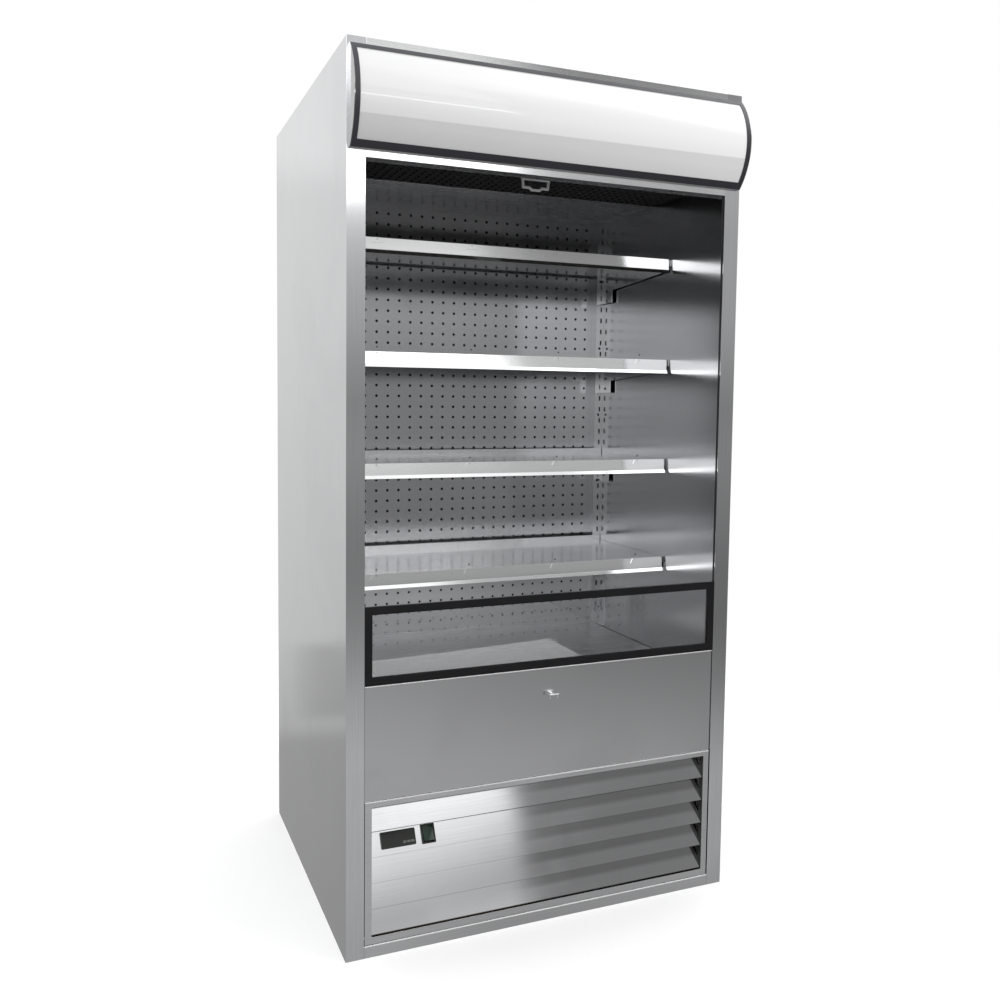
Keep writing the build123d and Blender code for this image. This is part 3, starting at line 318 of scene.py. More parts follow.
def material(name, **constants):
    """An empty material with its shader, and the object's own coordinates."""
    made = bpy.data.materials.new(name)
    made.use_nodes = True
    tree = made.node_tree
    tree.nodes.clear()
    shader = node(tree, "ShaderNodeBsdfPrincipled", constants)
    node(tree, "ShaderNodeOutputMaterial", {"Surface": shader.outputs[0]})
    place = node(tree, "ShaderNodeTexCoord").outputs["Object"]
    return made, tree, shader, place


def feed(tree, shader, **sockets):
    """Links values to the shader's sockets, named with underscores for spaces."""
    for key, value in sockets.items():
        tree.links.new(value, shader.inputs[key.replace("_", " ")])


def reopened(made):
    """A finished material's tree and shader, and the parts of the object's own coordinates."""
    tree = made.node_tree
    shader = next(n for n in tree.nodes if n.type == "BSDF_PRINCIPLED")
    place = node(tree, "ShaderNodeTexCoord").outputs["Object"]
    return tree, shader, node(tree, "ShaderNodeSeparateXYZ", {0: place}).outputs


def source_of(shader, name):
    """The socket that feeds one of the shader's."""
    return shader.inputs[name].links[0].from_socket


def bump(tree, height, strength, distance):
    """A normal for relief of this height."""
    made = node(tree, "ShaderNodeBump", {"Strength": strength, "Distance": distance, "Height": height})
    return made.outputs[0]


# ------------------------------------------------------------------ finishes

def brushed_steel(name, dark, light, stretch, rough=(0.16, 0.24), relief=0.02, smudged=0.05):
    """Brushed metal. stretch draws the grain out, and smudged is how much rougher a smudge is."""
    made, tree, shader, place = material(name, Metallic=1.0)
    grain = grouped(tree, "grain", Vector=place, Stretch=stretch)
    smudge = grouped(tree, "smudge", Vector=place, Scale=3.0)["Mask"]
    scratch = grouped(tree, "scratch", Vector=place, Stretch=SCRATCH_STRETCH)["Mask"]
    colour = tinted(tree, grain["Tone"], rgb(dark), rgb(light))
    colour = tinted(tree, maths(tree, "MULTIPLY", scratch, 0.3), colour, rgb(light))
    colour = tinted(tree, maths(tree, "MULTIPLY", smudge, 0.35), colour, rgb(scaled(dark, 0.93)))
    base = ranged(tree, grain["Tone"], 0.0, 1.0, rough[1], rough[0], smooth=False)
    feed(
        tree, shader,
        Base_Color=colour,
        Roughness=maths(tree, "ADD", base, maths(tree, "MULTIPLY", smudge, smudged)),
        Normal=bump(tree, grain["Height"], relief, 0.0004),
    )
    return made


def faded(made, start, stop, colour, rougher):
    """Carries a material over to another colour and a rougher face between two heights."""
    tree, shader, parts = reopened(made)
    amount = ranged(tree, parts[2], start, stop)
    feed(
        tree, shader,
        Base_Color=tinted(tree, amount, source_of(shader, "Base Color"), rgb(colour)),
        Roughness=maths(tree, "ADD", source_of(shader, "Roughness"), maths(tree, "MULTIPLY", amount, rougher)),
    )


def painted_fold_highlight(made, top):
    """Paints a highlight over the last 3 mm under the height top, where a folded sheet's edge catches the
    light: the colour goes to white and the face grows rougher.
    """
    faded(made, top - 0.0032, top - 0.0018, WHITE, 0.4)


def moulded(name, colour, rough=0.42, relief=0.08, scale=900.0, **constants):
    """Moulded plastic or satin paint with a fine skin."""
    made, tree, shader, place = material(name, **constants)
    skin = grouped(tree, "speckle", Vector=place, Scale=scale)
    smudge = grouped(tree, "smudge", Vector=place, Scale=11.0)["Mask"]
    feed(
        tree, shader,
        Base_Color=tinted(
            tree, skin["Tone"], rgb(scaled(colour, 0.86)), rgb([min(1, 1.12 * c) for c in colour])),
        Roughness=maths(tree, "ADD", rough, maths(tree, "MULTIPLY", smudge, 0.12)),
        Normal=bump(tree, skin["Height"], relief, 0.0003),
    )
    return made


def zinc(name, dark, light):
    """Hot-dipped sheet."""
    made, tree, shader, place = material(name, Metallic=0.9)
    cell = grouped(tree, "spangle", Vector=place, Scale=70.0)
    feed(
        tree, shader,
        Base_Color=tinted(tree, cell["Tone"], rgb(dark), rgb(light)),
        Roughness=ranged(tree, cell["Tone"], 0.0, 1.0, 0.34, 0.5, smooth=False),
        Normal=bump(tree, cell["Height"], 0.05, 0.0005),
    )
    return made


# ------------------------------------------------------------------ stage

# Bands of the surroundings that the steel reflects: degrees above the level, and brightness there.
# In front there is a pale floor, a dim far wall, and a long bright lamp at 14 degrees.
FRONT_BANDS = (
    (-90, 0.5), (-31, 0.51), (-26, 0.62), (-22, 0.62), (-18, 0.52), (-15, 0.38), (-11, 0.27),
    (-7, 0.30), (-3, 0.38), (1, 0.33), (4, 0.5), (8, 0.62), (10, 0.75), (12, 0.9), (12.6, 0.95),
    (12.9, 6.0), (14.5, 6.0), (14.8, 1.0), (18, 1.15), (20.5, 1.0), (22.2, 0.58), (23.5, 0.62),
    (26, 1.15), (28, 1.5), (34, 1.4), (44, 1.1), (82, 1.0))
# Past the lamp's end the hall is dim, under a pale ceiling.
ASIDE_BANDS = (
    (-90, 0.35), (-31, 0.35), (-27, 0.45), (-24.7, 0.6), (-22, 0.56), (-20, 0.50), (-18, 0.38),
    (-16, 0.27), (-13, 0.2), (-9.5, 0.22), (-6, 0.28), (-2.4, 0.33), (0, 0.3), (3, 0.42), (5, 0.48),
    (8, 0.5), (10, 0.52), (12, 0.58), (14, 0.6), (17, 0.4), (18.5, 0.28), (23, 0.25), (26, 0.30),
    (31, 0.3), (38, 0.5), (44, 1.4), (60, 1.4), (78, 0.9))
# Further right a bright window stands high up.
WINDOW_BANDS = ((-20, 0.3), (0, 0.4), (20, 0.5), (27, 1.6), (36, 3.0), (50, 3.0), (60, 1.2), (85, 0.9))
# At the left it is bright from eye level up.
LEFT_BANDS = ((-20, 0.4), (-8, 0.3), (-5, 0.35), (0, 0.85), (5, 1.27), (12, 1.5), (60, 1.3), (85, 1.0))
# Behind the object there is a grey floor and a pale wall.
BEHIND_BANDS = (
    (-40, 0.34), (-28.7, 0.37), (-23.8, 0.40), (-20.2, 0.41), (-19.4, 0.58), (-14, 0.68), (-8.5, 0.72),
    (-2, 0.77), (6, 0.84), (12.5, 0.87), (14.5, 1.0), (80, 1.0))
# A colour ramp holds no more than 1, so it holds the bands' shares of the brightest.
BRIGHTEST = 6.0


def by_height(tree, rise, stops):
    """The brightness of one set of bands at a height."""
    ramp = node(tree, "ShaderNodeValToRGB", {0: ranged(tree, rise, -math.pi / 2, math.pi / 2, smooth=False)})
    elements = ramp.color_ramp.elements
    elements.remove(elements[1])
    for place, (height, bright) in enumerate(stops):
        at = (height + 90) / 180
        stop = elements[0] if place == 0 else elements.new(at)
        stop.position = at
        stop.color = rgb([bright / BRIGHTEST] * 3)
    return maths(tree, "MULTIPLY", ramp.outputs[0], BRIGHTEST)


def until(tree, value, edge, soft):
    """1 below the edge and 0 above it, both in degrees."""
    return ranged(tree, value, math.radians(edge - soft), math.radians(edge + soft), 1.0, 0.0)


def between(tree, amount, first, second):
    """A value between two."""
    return node(tree, "ShaderNodeMix", {0: amount, 2: first, 3: second}, data_type="FLOAT").outputs[0]


def stage_floor(colour):
    """A wide pale floor that only the camera sees, and that fades out away from the object."""
    u, v = np.meshgrid(np.linspace(-12, 12, 9), np.linspace(-12, 12, 9))
    floor = surface("floor", np.stack([u, v, np.zeros_like(u)], axis=2), grid_faces(9, 9), smooth=False)
    made, tree, shader, place = material("Pale floor", Roughness=0.7)
    cloud = node(tree, "ShaderNodeTexNoise", {"Vector": place, "Scale": 3.0, "Detail": 3.0})
    seen = node(tree, "ShaderNodeLightPath").outputs["Is Camera Ray"]
    away = node(tree, "ShaderNodeVectorMath", {0: place}, operation="LENGTH").outputs["Value"]
    feed(
        tree, shader,
        Base_Color=tinted(tree, cloud.outputs[0], rgb(scaled(colour, 0.97)), rgb(colour)),
        Alpha=maths(tree, "MULTIPLY", seen, ranged(tree, away, 1.2, 3.0, 1.0, 0.0)),
    )
    dress(made, floor)


def stage_world(strength):
    """The surroundings. The camera sees plain white, and the steel reflects bands of light, by the
    direction's height and by its turn, which is 0 towards -Y and grows towards +X."""
    world = bpy.data.worlds.new("Studio")
    world.use_nodes = True
    tree = world.node_tree
    tree.nodes.clear()
    ray = node(tree, "ShaderNodeTexCoord").outputs["Generated"]
    parts = node(tree, "ShaderNodeSeparateXYZ", {0: ray}).outputs
    rise = maths(tree, "ARCSINE", parts[2])
    turn = maths(tree, "ARCTAN2", parts[0], maths(tree, "MULTIPLY", parts[1], -1.0))

    # In front: bright at the left, then the lamp, whose end leans high up, then the hall and a window.
    front = between(
        tree, until(tree, turn, 0, 9), by_height(tree, rise, FRONT_BANDS), by_height(tree, rise, LEFT_BANDS))
    slant = ranged(tree, rise, math.radians(20), math.radians(27), math.radians(0.7), math.radians(-0.8))
    edge = between(
        tree, ranged(tree, rise, math.radians(8), math.radians(11)), until(tree, turn, 21, 6),
        until(tree, maths(tree, "ADD", turn, slant), 25.0, 0.8))
    front = between(tree, edge, by_height(tree, rise, ASIDE_BANDS), front)
    front = between(tree, until(tree, turn, 41, 2), by_height(tree, rise, WINDOW_BANDS), front)

    # Behind: pale bands, with a darker low patch at the left.
    patch = maths(
        tree, "MULTIPLY", until(tree, turn, -150, 2),
        maths(tree, "SUBTRACT", 1.0, until(tree, turn, -168.3, 0.5)))
    patch = maths(
        tree, "MULTIPLY", patch,
        maths(tree, "SUBTRACT", until(tree, rise, -14.8, 0.3), until(tree, rise, -19.1, 0.3)))
    behind = maths(
        tree, "MULTIPLY", by_height(tree, rise, BEHIND_BANDS),
        maths(tree, "SUBTRACT", 1.0, maths(tree, "MULTIPLY", patch, 0.27)))

    total = between(tree, ranged(tree, parts[1], 0.1, 0.5), front, behind)
    total = maths(tree, "MULTIPLY", total, strength)
    seen = node(tree, "ShaderNodeLightPath").outputs["Is Camera Ray"]
    back = node(tree, "ShaderNodeBackground", {0: WHITE, 1: between(tree, seen, total, 1.0)})
    node(tree, "ShaderNodeOutputWorld", {"Surface": back.outputs[0]})
    bpy.context.scene.world = world


def soft_light(name, width, depth, power, where):
    """A rectangular lamp."""
    lamp = bpy.data.lights.new(name, "AREA")
    lamp.shape = "RECTANGLE"
    lamp.size, lamp.size_y = width, depth
    lamp.energy = power
    made = bpy.data.objects.new(name, lamp)
    made.matrix_world = where
    bpy.context.scene.collection.objects.link(made)


def stage_camera():
    """The photograph's view. The axes are turned by the yaw and the pitch, and then by the roll."""
    yaw, pitch, roll = (math.radians(a) for a in (CAMERA_YAW, CAMERA_PITCH, CAMERA_ROLL))
    ahead = np.array([math.sin(yaw) * math.cos(pitch), math.cos(yaw) * math.cos(pitch), math.sin(pitch)])
    level = np.array([math.cos(yaw), -math.sin(yaw), 0])
    upright = np.cross(level, ahead)
    right = math.cos(roll) * level + math.sin(roll) * upright
    up = math.cos(roll) * upright - math.sin(roll) * level
    lens = bpy.data.cameras.new("camera")
    lens.sensor_width = SENSOR_WIDTH
    lens.lens = SENSOR_WIDTH * CAMERA_FOCAL
    lens.shift_x, lens.shift_y = CAMERA_SHIFT
    camera = bpy.data.objects.new("camera", lens)
    turning = Matrix((right, up, -ahead)).transposed().to_4x4()
    camera.matrix_world = Matrix.Translation(CAMERA_PLACE) @ turning
    bpy.context.scene.collection.objects.link(camera)
    bpy.context.scene.camera = camera


# ------------------------------------------------------------------ settings

class SteelSettings(bpy.types.PropertyGroup):
    """The sheet metal."""
    light: FloatVectorProperty(
        name="Light steel", description="Bright lines of the brushed sheet", subtype="COLOR",
        size=3, min=0, max=1, default=(0.645, 0.65, 0.66))
    dark: FloatVectorProperty(
        name="Dark steel", description="Dull lines of the brushed sheet", subtype="COLOR",
        size=3, min=0, max=1, default=(0.575, 0.58, 0.59))
    edge: FloatProperty(
        name="Edge rounding", description="Radius of folded and cut edges", subtype="DISTANCE",
        unit="LENGTH", default=0.0004, min=0.0001, max=0.002)


class CanopySettings(bpy.types.PropertyGroup):
    """The light canopy over the opening."""
    diffuser: FloatVectorProperty(
        name="Diffuser", description="Colour of the opal diffuser", subtype="COLOR",
        size=3, min=0, max=1, default=(0.48, 0.48, 0.485))
    band: FloatVectorProperty(
        name="Band", description="Colour of the band round the diffuser", subtype="COLOR",
        size=3, min=0, max=1, default=(0.03, 0.03, 0.038))


class BlindSettings(bpy.types.PropertyGroup):
    """The night blind."""
    cloth: FloatVectorProperty(
        name="Cloth", description="Colour of the woven blind", subtype="COLOR",
        size=3, min=0, max=1, default=(0.30, 0.31, 0.33))
    turns: IntProperty(
        name="Turns", description="Turns of cloth on the roller", default=13, min=4, max=20)
    thickness: FloatProperty(
        name="Thickness", description="Thickness of the cloth", subtype="DISTANCE",
        unit="LENGTH", default=0.00035, min=0.0001, max=0.001)


class ControlSettings(bpy.types.PropertyGroup):
    """The controller and the switch."""
    lens: FloatVectorProperty(
        name="Switch lens", description="Colour of the rocker", subtype="COLOR",
        size=3, min=0, max=1, default=(0.004, 0.022, 0.012))


class StageSettings(bpy.types.PropertyGroup):
    """The floor, the light and the camera."""
    floor: FloatVectorProperty(
        name="Floor", description="Colour of the floor", subtype="COLOR",
        size=3, min=0, max=1, default=(0.95, 0.95, 0.95))
    room: FloatProperty(
        name="Room", description="Strength of the light all round", default=1.0, min=0, max=5)
    key: FloatProperty(
        name="Key light", description="Power of the soft lamp at the front left", default=30.0,
        min=0, max=500, unit="POWER")
    deck: FloatProperty(
        name="Deck light", description="Power of the soft strip over the deck", default=0.3,
        min=0, max=20, unit="POWER")


# ------------------------------------------------------------------ pieces

class FRIDGE_OT_casing(bpy.types.Operator):
    """Finishes the side panels, rails, roof, base and rear cover"""
    bl_idname = "fridge.casing"
    bl_label = "Casing"

    def execute(self, context):
        steel = context.scene.fridge_steel
        upright_grain = brushed_steel(
            "Side panel steel", steel.dark, steel.light, GRAIN_Z, rough=(0.07, 0.11))
        level_grain = brushed_steel(
            "Rail steel", steel.dark, steel.light, GRAIN_X, rough=(0.12, 0.18))
        head = brushed_steel(
            "Head rail steel", (0.66, 0.665, 0.67), (0.74, 0.745, 0.75), GRAIN_X,
            rough=(0.11, 0.15))
        galvanised = zinc("Galvanised sheet", (0.42, 0.43, 0.44), (0.60, 0.61, 0.62))
        for hand in ("left", "right"):
            dress(upright_grain, softened(f"side_panel_{hand}", steel.edge))
        # A painted highlight along the bottom rail's top fold.
        painted_fold_highlight(level_grain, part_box("bottom_rail")[1][2])
        dress(level_grain, softened("bottom_rail", 0.0007))
        dress(head, softened("head_rail", steel.edge))
        dress(galvanised, "rear_cover", "roof_panel", "base_pan")
        # The lining behind the back panel is near black, painted shade so that the panel's holes show dark.
        dress(moulded("Duct lining painted shade", (0.02, 0.02, 0.022), rough=0.7), "liner_back")
        dress(moulded("Insulating foam", (0.78, 0.66, 0.38), rough=0.8, relief=0.5, scale=220.0), "insulation")
        return {"FINISHED"}


class FRIDGE_OT_interior(bpy.types.Operator):
    """Finishes the liner, back panel, uprights, ceiling and air outlet"""
    bl_idname = "fridge.interior"
    bl_label = "Interior"

    def execute(self, context):
        liner = brushed_steel(
            "Liner steel", (0.53, 0.535, 0.545), (0.58, 0.585, 0.595), GRAIN_Y,
            rough=(0.14, 0.2), relief=0.01, smudged=0.04)
        panel = brushed_steel(
            "Back panel steel", (0.44, 0.445, 0.455), (0.50, 0.505, 0.515), GRAIN_X,
            rough=(0.12, 0.18), relief=0.01, smudged=0.04)
        # Below the bottom shelf the panel is paler and rougher. The paleness is painted light, for the light
        # that comes in there through the front glass.
        shelf_low, shelf_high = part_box("shelf_4")
        faded(panel, shelf_high[2] - 0.01, shelf_low[2], (0.70, 0.705, 0.715), 0.3)
        upright = brushed_steel(
            "Upright steel", (0.50, 0.505, 0.515), (0.58, 0.585, 0.595), GRAIN_Z)
        roof = brushed_steel(
            "Ceiling steel", (0.13, 0.13, 0.135), (0.16, 0.16, 0.165), GRAIN_X,
            rough=(0.2, 0.3))
        dress(liner, "liner_left", "liner_right")
        dress(panel, "back_panel")
        dress(upright, "upright_left", "upright_right", "tub_floor")
        dress(roof, "ceiling_panel")
        dress(moulded("Honeycomb plastic", (0.045, 0.045, 0.048), rough=0.7), "air_straightener")
        dress(moulded("Black edge strip", (0.015, 0.015, 0.018), rough=0.45), "breaker_strips")
        return {"FINISHED"}


class FRIDGE_OT_shelving(bpy.types.Operator):
    """Finishes the shelves, price rails, brackets, deck and air intake"""
    bl_idname = "fridge.shelving"
    bl_label = "Shelving"

    def execute(self, context):
        tray = brushed_steel(
            "Shelf steel", (0.60, 0.605, 0.615), (0.66, 0.665, 0.675), GRAIN_X,
            rough=(0.12, 0.18), relief=0.01)
        rail = brushed_steel(
            "Price rail steel", (0.80, 0.805, 0.81), (0.87, 0.875, 0.88), GRAIN_X,
            rough=(0.08, 0.12))
        deck = brushed_steel(
            "Deck steel", (0.56, 0.565, 0.575), (0.62, 0.625, 0.635), GRAIN_X,
            rough=(0.24, 0.32), relief=0.01)
        intake = moulded("Air intake enamel", (0.45, 0.45, 0.45), rough=0.35)
        dress(tray, "shelf_1", "shelf_2", "shelf_3", "shelf_4")
        dress(rail, "shelf_brackets")
        dress(deck, "deck_pan")
        dress(intake, "return_grille")
        dress(rail, softened("shelf_rails", 0.0003, angle=12))
        return {"FINISHED"}


class FRIDGE_OT_front(bpy.types.Operator):
    """Finishes the fascia, its catch and the low front glass"""
    bl_idname = "fridge.front"
    bl_label = "Front"

    def execute(self, context):
        steel = context.scene.fridge_steel
        sheet = brushed_steel(
            "Fascia steel", mixed(steel.dark, steel.light, 0.52, 0.41),
            mixed(steel.dark, steel.light, 0.43, 0.50), GRAIN_X, rough=(0.18, 0.21), relief=0.01)
        # A painted highlight along the fascia's top fold.
        painted_fold_highlight(sheet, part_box("fascia_panel")[1][2])
        dress(sheet, softened("fascia_panel", 0.0007))
        surround = moulded(
            "Glass frame black", (0.005, 0.005, 0.006), rough=0.34, **{"Specular IOR Level": 0.28})
        dress(surround, softened("glass_frame", 0.0008))
        bright = brushed_steel(
            "Catch chrome", (0.78, 0.78, 0.79), (0.86, 0.86, 0.87), (60.0, 60.0, 60.0),
            rough=(0.05, 0.1), relief=0.01)
        dress(bright, "blind_catch")
        pane, tree, shader, place = material(
            "Front glass", **{"Transmission Weight": 1.0, "IOR": 1.46, "Metallic": 0.0, "Alpha": 0.35})
        shader.inputs["Base Color"].default_value = (0.97, 0.975, 0.975, 1)
        smudge = grouped(tree, "smudge", Vector=place, Scale=7.0)["Mask"]
        feed(tree, shader, Roughness=maths(tree, "MULTIPLY", smudge, 0.012))
        dress(pane, "front_glass")
        return {"FINISHED"}


class FRIDGE_OT_louvres(bpy.types.Operator):
    """Finishes the hinged grille and its blades"""
    bl_idname = "fridge.louvres"
    bl_label = "Grille"

    def execute(self, context):
        steel = context.scene.fridge_steel
        border = brushed_steel("Grille frame steel", steel.dark, steel.light, GRAIN_X)
        blade = brushed_steel(
            "Blade steel", steel.dark, steel.light, GRAIN_X, rough=(0.05, 0.09))
        # Each blade is darkened along its foot, a painted shadow line in the gap between blades, and a little
        # darkened over its upper half towards the right, painted shade under the blade above. The blades lie at
        # even heights, and the share of a blade's height is 0 at its foot.
        tree, shader, parts = reopened(blade)
        low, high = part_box("louvre_blades")
        blades, gap = 5, 0.002
        above = maths(tree, "SUBTRACT", parts[2], low[2] - gap / 2)
        share = maths(tree, "FRACT", maths(tree, "MULTIPLY", above, blades / (high[2] - low[2] + gap)))
        upper_shade = maths(tree, "MULTIPLY", ranged(tree, share, 0.4, 0.6), ranged(tree, parts[0], -0.1, 0.02))
        foot = maths(tree, "MULTIPLY", ranged(tree, share, 0.055, 0.03), 0.75)
        colour = tinted(
            tree, maths(tree, "MULTIPLY", upper_shade, 0.42), source_of(shader, "Base Color"),
            rgb(scaled(steel.dark, 0.25)))
        feed(tree, shader, Base_Color=tinted(tree, foot, colour, rgb(scaled(steel.dark, 0.1))))
        # A painted highlight along the grille frame's top fold.
        painted_fold_highlight(border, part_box("grille_frame")[1][2])
        frame_piece = softened("grille_frame", 0.0006)
        dress(border, frame_piece)
        # The sides of the opening, behind the blades' ends, are made black: painted shade between the blades'
        # ends.
        shadow = moulded("Grille side painted shade", (0.008, 0.008, 0.009), rough=0.6)
        frame_piece.data.materials.append(shadow)
        opening = max(abs(low[0]), abs(high[0]))
        count = len(frame_piece.data.polygons)
        normal, centre = np.empty(count * 3), np.empty(count * 3)
        frame_piece.data.polygons.foreach_get("normal", normal)
        frame_piece.data.polygons.foreach_get("center", centre)
        side = (np.abs(normal[::3]) > 0.9) & (np.abs(np.abs(centre[::3]) - opening) < 0.001)
        frame_piece.data.polygons.foreach_set("material_index", side.astype(np.int32))
        dress(blade, softened("louvre_blades", 0.0004, angle=12))
        return {"FINISHED"}


class FRIDGE_OT_controls(bpy.types.Operator):
    """Finishes the controller, its keys and the rocker switch"""
    bl_idname = "fridge.controls"
    bl_label = "Controls"

    def execute(self, context):
        control = context.scene.fridge_control
        case = moulded("Controller case", (0.012, 0.014, 0.012), rough=0.3, **DULL_SPECULAR)
        dress(case, softened("controller", 0.0006), softened("rocker_bezel", 0.0006))
        key = moulded("Key rubber", (0.10, 0.11, 0.10), rough=0.5)
        for number in (1, 2, 3):
            dress(key, softened(f"key_{number}", 0.0004))
        lens = moulded("Switch lens", control.lens, rough=0.2, relief=0.02, **DULL_SPECULAR)
        dress(lens, softened("rocker", 0.0006, smooth=True))
        return {"FINISHED"}


class FRIDGE_OT_canopy(bpy.types.Operator):
    """Finishes the light canopy"""
    bl_idname = "fridge.canopy"
    bl_label = "Canopy"

    def execute(self, context):
        canopy = context.scene.fridge_canopy
        opal, tree, shader, place = material("Opal acrylic", **{
            "Roughness": 0.35, "Coat Weight": 1.0, "Coat Roughness": 0.03, "Emission Strength": 1.0})
        low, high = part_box("canopy_diffuser")
        parts = node(tree, "ShaderNodeSeparateXYZ", {0: place}).outputs
        across = ranged(tree, parts[0], low[0] - 0.1, high[0], smooth=False)
        # Below the brink, where the diffuser turns under, it is darker: painted shade. The glow grows from left
        # to right, and that growth is painted light.
        brink = low[2] + 0.30 * (high[2] - low[2])
        level = maths(tree, "ADD", parts[2], maths(tree, "MULTIPLY", parts[0], -0.004))
        body = ranged(tree, level, brink - 0.002, brink + 0.002)
        cloud = grouped(tree, "smudge", Vector=place, Scale=2.0)["Mask"]
        shade = maths(tree, "ADD", ranged(tree, body, 0.0, 1.0, 0.80, 1.0, smooth=False),
                      maths(tree, "MULTIPLY", cloud, 0.03))
        glow = maths(tree, "MULTIPLY", ranged(tree, across, 0.0, 1.0, 0.24, 0.46, smooth=False), shade)
        feed(
            tree, shader,
            Base_Color=tinted(tree, shade, BLACK, rgb(canopy.diffuser)),
            Emission_Color=tinted(tree, glow, BLACK, WHITE),
        )
        dress(opal, "canopy_diffuser")
        dress(moulded("Canopy band", canopy.band, rough=0.35), "canopy_trim")
        ends = brushed_steel(
            "Canopy end chrome", (0.30, 0.30, 0.31), (0.42, 0.42, 0.43), (40.0, 40.0, 200.0),
            rough=(0.08, 0.16))
        dress(ends, "canopy_end_left", "canopy_end_right")
        dress(zinc("Canopy housing sheet", (0.5, 0.5, 0.5), (0.6, 0.6, 0.6)), "canopy_housing")
        dress(moulded("Lamp tube glass", (0.9, 0.9, 0.92), rough=0.15, relief=0.0), "lamp_tube")
        return {"FINISHED"}


class FRIDGE_OT_blind(bpy.types.Operator):
    """Winds the night blind on its roller and hangs its end from the bar"""
    bl_idname = "fridge.blind"
    bl_label = "Night blind"

    def execute(self, context):
        blind = context.scene.fridge_blind
        roll_low, roll_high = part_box("blind_roll")
        cloth_low, cloth_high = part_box("blind_cloth")
        bar_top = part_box("blind_bar")[1][2]
        axis_y = (roll_low[1] + roll_high[1]) / 2
        axis_z = (roll_low[2] + roll_high[2]) / 2
        hang_y = (cloth_low[1] + cloth_high[1]) / 2
        outer = axis_y - hang_y
        inner = 0.0145  # just clear of the roller, whose radius is 14 mm
        points_per_turn = 44
        # The cloth's edge is a spiral of radius inner + (outer - inner) t from t = 0 to 1, over all
        # turns, and then a plumb line. Every row of points repeats that line across the width.
        t = np.linspace(0, 1, blind.turns * points_per_turn + 1)
        radius = inner + (outer - inner) * t
        angle = np.pi - 2 * np.pi * blind.turns * (1 - t)
        spiral = np.stack([axis_y + radius * np.cos(angle), axis_z + radius * np.sin(angle)], axis=1)
        drop = np.linspace(axis_z, bar_top - 0.004, 49)[1:]
        plumb = np.stack([np.full(drop.size, hang_y), drop], axis=1)
        edge = np.concatenate([spiral, plumb])
        across = np.linspace(roll_low[0], roll_high[0], 9)
        points = np.empty((edge.shape[0], across.size, 3))
        points[..., 0] = across
        points[..., 1:] = edge[:, None, :]
        cloth = surface("night_blind_cloth", points, grid_faces(edge.shape[0], across.size))
        steps = np.linalg.norm(np.diff(edge, axis=0), axis=1)
        along = np.concatenate([[0], np.cumsum(steps)])
        uv = cloth.data.uv_layers.new(name="cloth")
        corner = np.empty(len(cloth.data.loops), int)
        cloth.data.loops.foreach_get("vertex_index", corner)
        flat = np.stack(np.broadcast_arrays(across[None, :], along[:, None]), axis=2).reshape(-1, 2)
        uv.data.foreach_set("uv", flat[corner].ravel())
        body = cloth.modifiers.new("thickness", "SOLIDIFY")
        body.thickness = blind.thickness
        body.offset = 0
        made, tree, shader, _ = material("Woven blind", **{"Roughness": 0.8, "Sheen Weight": 0.2})
        own = node(tree, "ShaderNodeTexCoord").outputs["UV"]
        weave = grouped(tree, "weave", Vector=own, Threads=5200.0)
        feed(
            tree, shader,
            Base_Color=tinted(tree, weave["Tone"], rgb(scaled(blind.cloth, 0.8)), rgb(blind.cloth)),
            Normal=bump(tree, weave["Height"], 0.3, 0.0002),
        )
        dress(made, cloth)
        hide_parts("blind_roll", "blind_cloth")
        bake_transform(cloth)
        dress(moulded("Blind bar", (0.05, 0.05, 0.055), rough=0.4), softened("blind_bar", 0.0008))
        handle = softened("blind_handle", 0.001, smooth=True)
        dress(moulded("Blind handle", (0.80, 0.80, 0.80), rough=0.3), handle)
        tube = brushed_steel("Roller tube", (0.6, 0.6, 0.6), (0.7, 0.7, 0.7), (4.0, 200.0, 200.0))
        dress(tube, "blind_roller")
        return {"FINISHED"}


class FRIDGE_OT_machinery(bpy.types.Operator):
    """Finishes the compressor, coils, fans and pipes behind the grille and the back panel"""
    bl_idname = "fridge.machinery"
    bl_label = "Machinery"

    def execute(self, context):
        black = moulded("Compressor enamel", (0.02, 0.02, 0.022), rough=0.3, relief=0.05, scale=300.0)
        dress(black, "compressor", "condenser_fan_motor")
        fins = brushed_steel(
            "Fin aluminium", (0.6, 0.6, 0.6), (0.72, 0.72, 0.72), FIN_GRAIN, rough=(0.3, 0.45))
        dress(fins, "condenser_coil", "condenser_fan")
        # The evaporator coil is darkened as painted shade, so that the back panel's holes show dark.
        shaded_coil = brushed_steel(
            "Evaporator coil painted shade", (0.05, 0.05, 0.052), (0.08, 0.08, 0.083), FIN_GRAIN, rough=(0.4, 0.5))
        dress(shaded_coil, "evaporator_coil")
        plastic = moulded("Fan plastic", (0.03, 0.03, 0.033), rough=0.45)
        dress(plastic, "evaporator_fan", "evaporator_fan_motor", "cord_gland")
        dress(moulded("Electrical box plastic", (0.42, 0.42, 0.41), rough=0.5), "electrical_box")
        copper = brushed_steel(
            "Bare copper", (0.60, 0.29, 0.18), (0.74, 0.40, 0.26), (30.0, 30.0, 30.0), rough=(0.22, 0.4))
        dress(copper, "pipework")
        return {"FINISHED"}


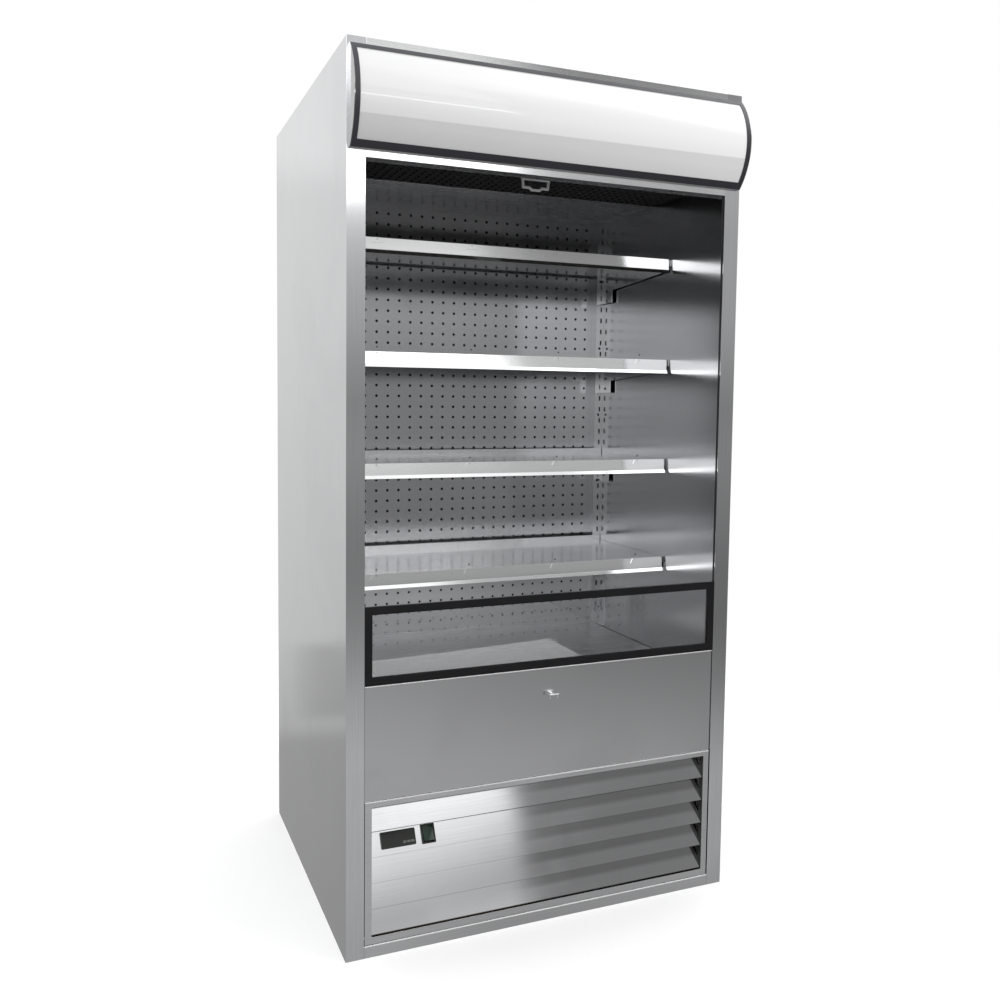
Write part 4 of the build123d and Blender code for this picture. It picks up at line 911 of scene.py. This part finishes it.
class FRIDGE_OT_fasteners(bpy.types.Operator):
    """Adds the screws of the rear cover and the dark screws in the price rails' tabs"""
    bl_idname = "fridge.fasteners"
    bl_label = "Fasteners"

    def execute(self, context):
        low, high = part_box("rear_cover")
        in_x, in_z = 0.032, 0.012  # from the cover's edges to the screws
        x = np.linspace(low[0] + 0.06, high[0] - 0.06, 6)
        z = np.linspace(low[2] + 0.08, high[2] - 0.08, 8)
        rim = [(a, high[1], b) for a in x for b in (low[2] + in_z, high[2] - in_z)]
        rim += [(a, high[1], b) for a in (low[0] + in_x, high[0] - in_x) for b in z]
        head = [(0.0036, -0.0003), (0.0036, 0.0003), (0.0031, 0.0009), (0.0019, 0.0012), (0.0012, 0.0012),
                (0.0010, 0.0005)]
        screws = turned("rear_cover_screws", head, rim, (0, 1, 0), segments=14)
        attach(screws, "cabinet")
        dress(zinc("Screw zinc", (0.5, 0.5, 0.48), (0.66, 0.66, 0.62)), screws)

        # Four tabs to a rail, 244 mm apart. Each screw stands square to the rail's leaning face, a
        # little below its top, which is above the shelf's.
        lean = math.radians(6.5)
        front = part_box("shelf_1")[0][1]
        fold, proud, top, down = 0.0017, 0.0008, 0.0015, 0.004
        tabs = [
            (x, front - fold - down * math.sin(lean) - proud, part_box(f"shelf_{n}")[1][2] + top - down)
            for n in (1, 2, 3, 4) for x in (-0.366, -0.122, 0.122, 0.366)]
        pan = [(0.0021, -0.0004), (0.0021, 0.0002), (0.0016, 0.0006), (0.0009, 0.0007)]
        studs = turned("price_rail_screws", pan, tabs, (0, -math.cos(lean), math.sin(lean)), segments=12)
        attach(studs, "cabinet")
        # The tab screws are near black.
        dress(moulded("Near-black tab screw", (0.03, 0.03, 0.03), rough=0.4), studs)
        return {"FINISHED"}


class FRIDGE_OT_stage(bpy.types.Operator):
    """Makes the floor, the light and the camera"""
    bl_idname = "fridge.stage"
    bl_label = "Stage"

    def execute(self, context):
        stage = context.scene.fridge_stage
        stage_floor(stage.floor)
        stage_world(stage.room)
        soft_light(
            "key", 2.4, 1.8, stage.key, Matrix.Translation((-1.6, -2.6, 3.6))
            @ Matrix.Rotation(math.radians(-30), 4, "Z") @ Matrix.Rotation(math.radians(45), 4, "X"))
        # A strip just over the air intake, facing up, lights the space over the deck.
        low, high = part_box("return_grille")
        soft_light(
            "deck light", 0.66, 0.2, stage.deck,
            Matrix.Translation((-0.11, (low[1] + high[1]) / 2 + 0.05, high[2] + 0.006))
            @ Matrix.Rotation(math.radians(180), 4, "X"))
        stage_camera()
        context.scene.view_settings.view_transform = "Standard"
        return {"FINISHED"}


class FRIDGE_PT_panel(bpy.types.Panel):
    """Lists the steps in the sidebar."""
    bl_idname = "FRIDGE_PT_panel"
    bl_label = "Display fridge"
    bl_space_type = "VIEW_3D"
    bl_region_type = "UI"
    bl_category = "Fridge"

    def draw(self, context):
        for step in STEPS:
            self.layout.operator(step.bl_idname)
        for settings in SETTINGS:
            group = getattr(context.scene, settings)
            for key in group.bl_rna.properties.keys():
                if key not in ("rna_type", "name"):
                    self.layout.prop(group, key)


SETTINGS = {
    "fridge_steel": SteelSettings,
    "fridge_canopy": CanopySettings,
    "fridge_blind": BlindSettings,
    "fridge_control": ControlSettings,
    "fridge_stage": StageSettings,
}
STEPS = [
    FRIDGE_OT_stage, FRIDGE_OT_casing, FRIDGE_OT_interior, FRIDGE_OT_shelving, FRIDGE_OT_front,
    FRIDGE_OT_louvres, FRIDGE_OT_controls, FRIDGE_OT_canopy, FRIDGE_OT_blind, FRIDGE_OT_machinery,
    FRIDGE_OT_fasteners,
]


def register():
    """Adds the settings, the steps and the panel."""
    for kind in (*SETTINGS.values(), *STEPS, FRIDGE_PT_panel):
        bpy.utils.register_class(kind)
    for name, kind in SETTINGS.items():
        setattr(bpy.types.Scene, name, PointerProperty(type=kind))


def unregister():
    """Takes away what register added."""
    for name in SETTINGS:
        delattr(bpy.types.Scene, name)
    for kind in (FRIDGE_PT_panel, *reversed(STEPS), *SETTINGS.values()):
        bpy.utils.unregister_class(kind)


def main():
    """Builds the shared effects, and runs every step."""
    register()
    GROUPS.update(
        grain=grain_group(), smudge=smudge_group(), scratch=scratch_group(),
        speckle=speckle_group(), spangle=spangle_group(), weave=weave_group())
    for step in STEPS:
        prefix, name = step.bl_idname.split(".")
        getattr(getattr(bpy.ops, prefix), name)()


if __name__ == "__main__":
    main()
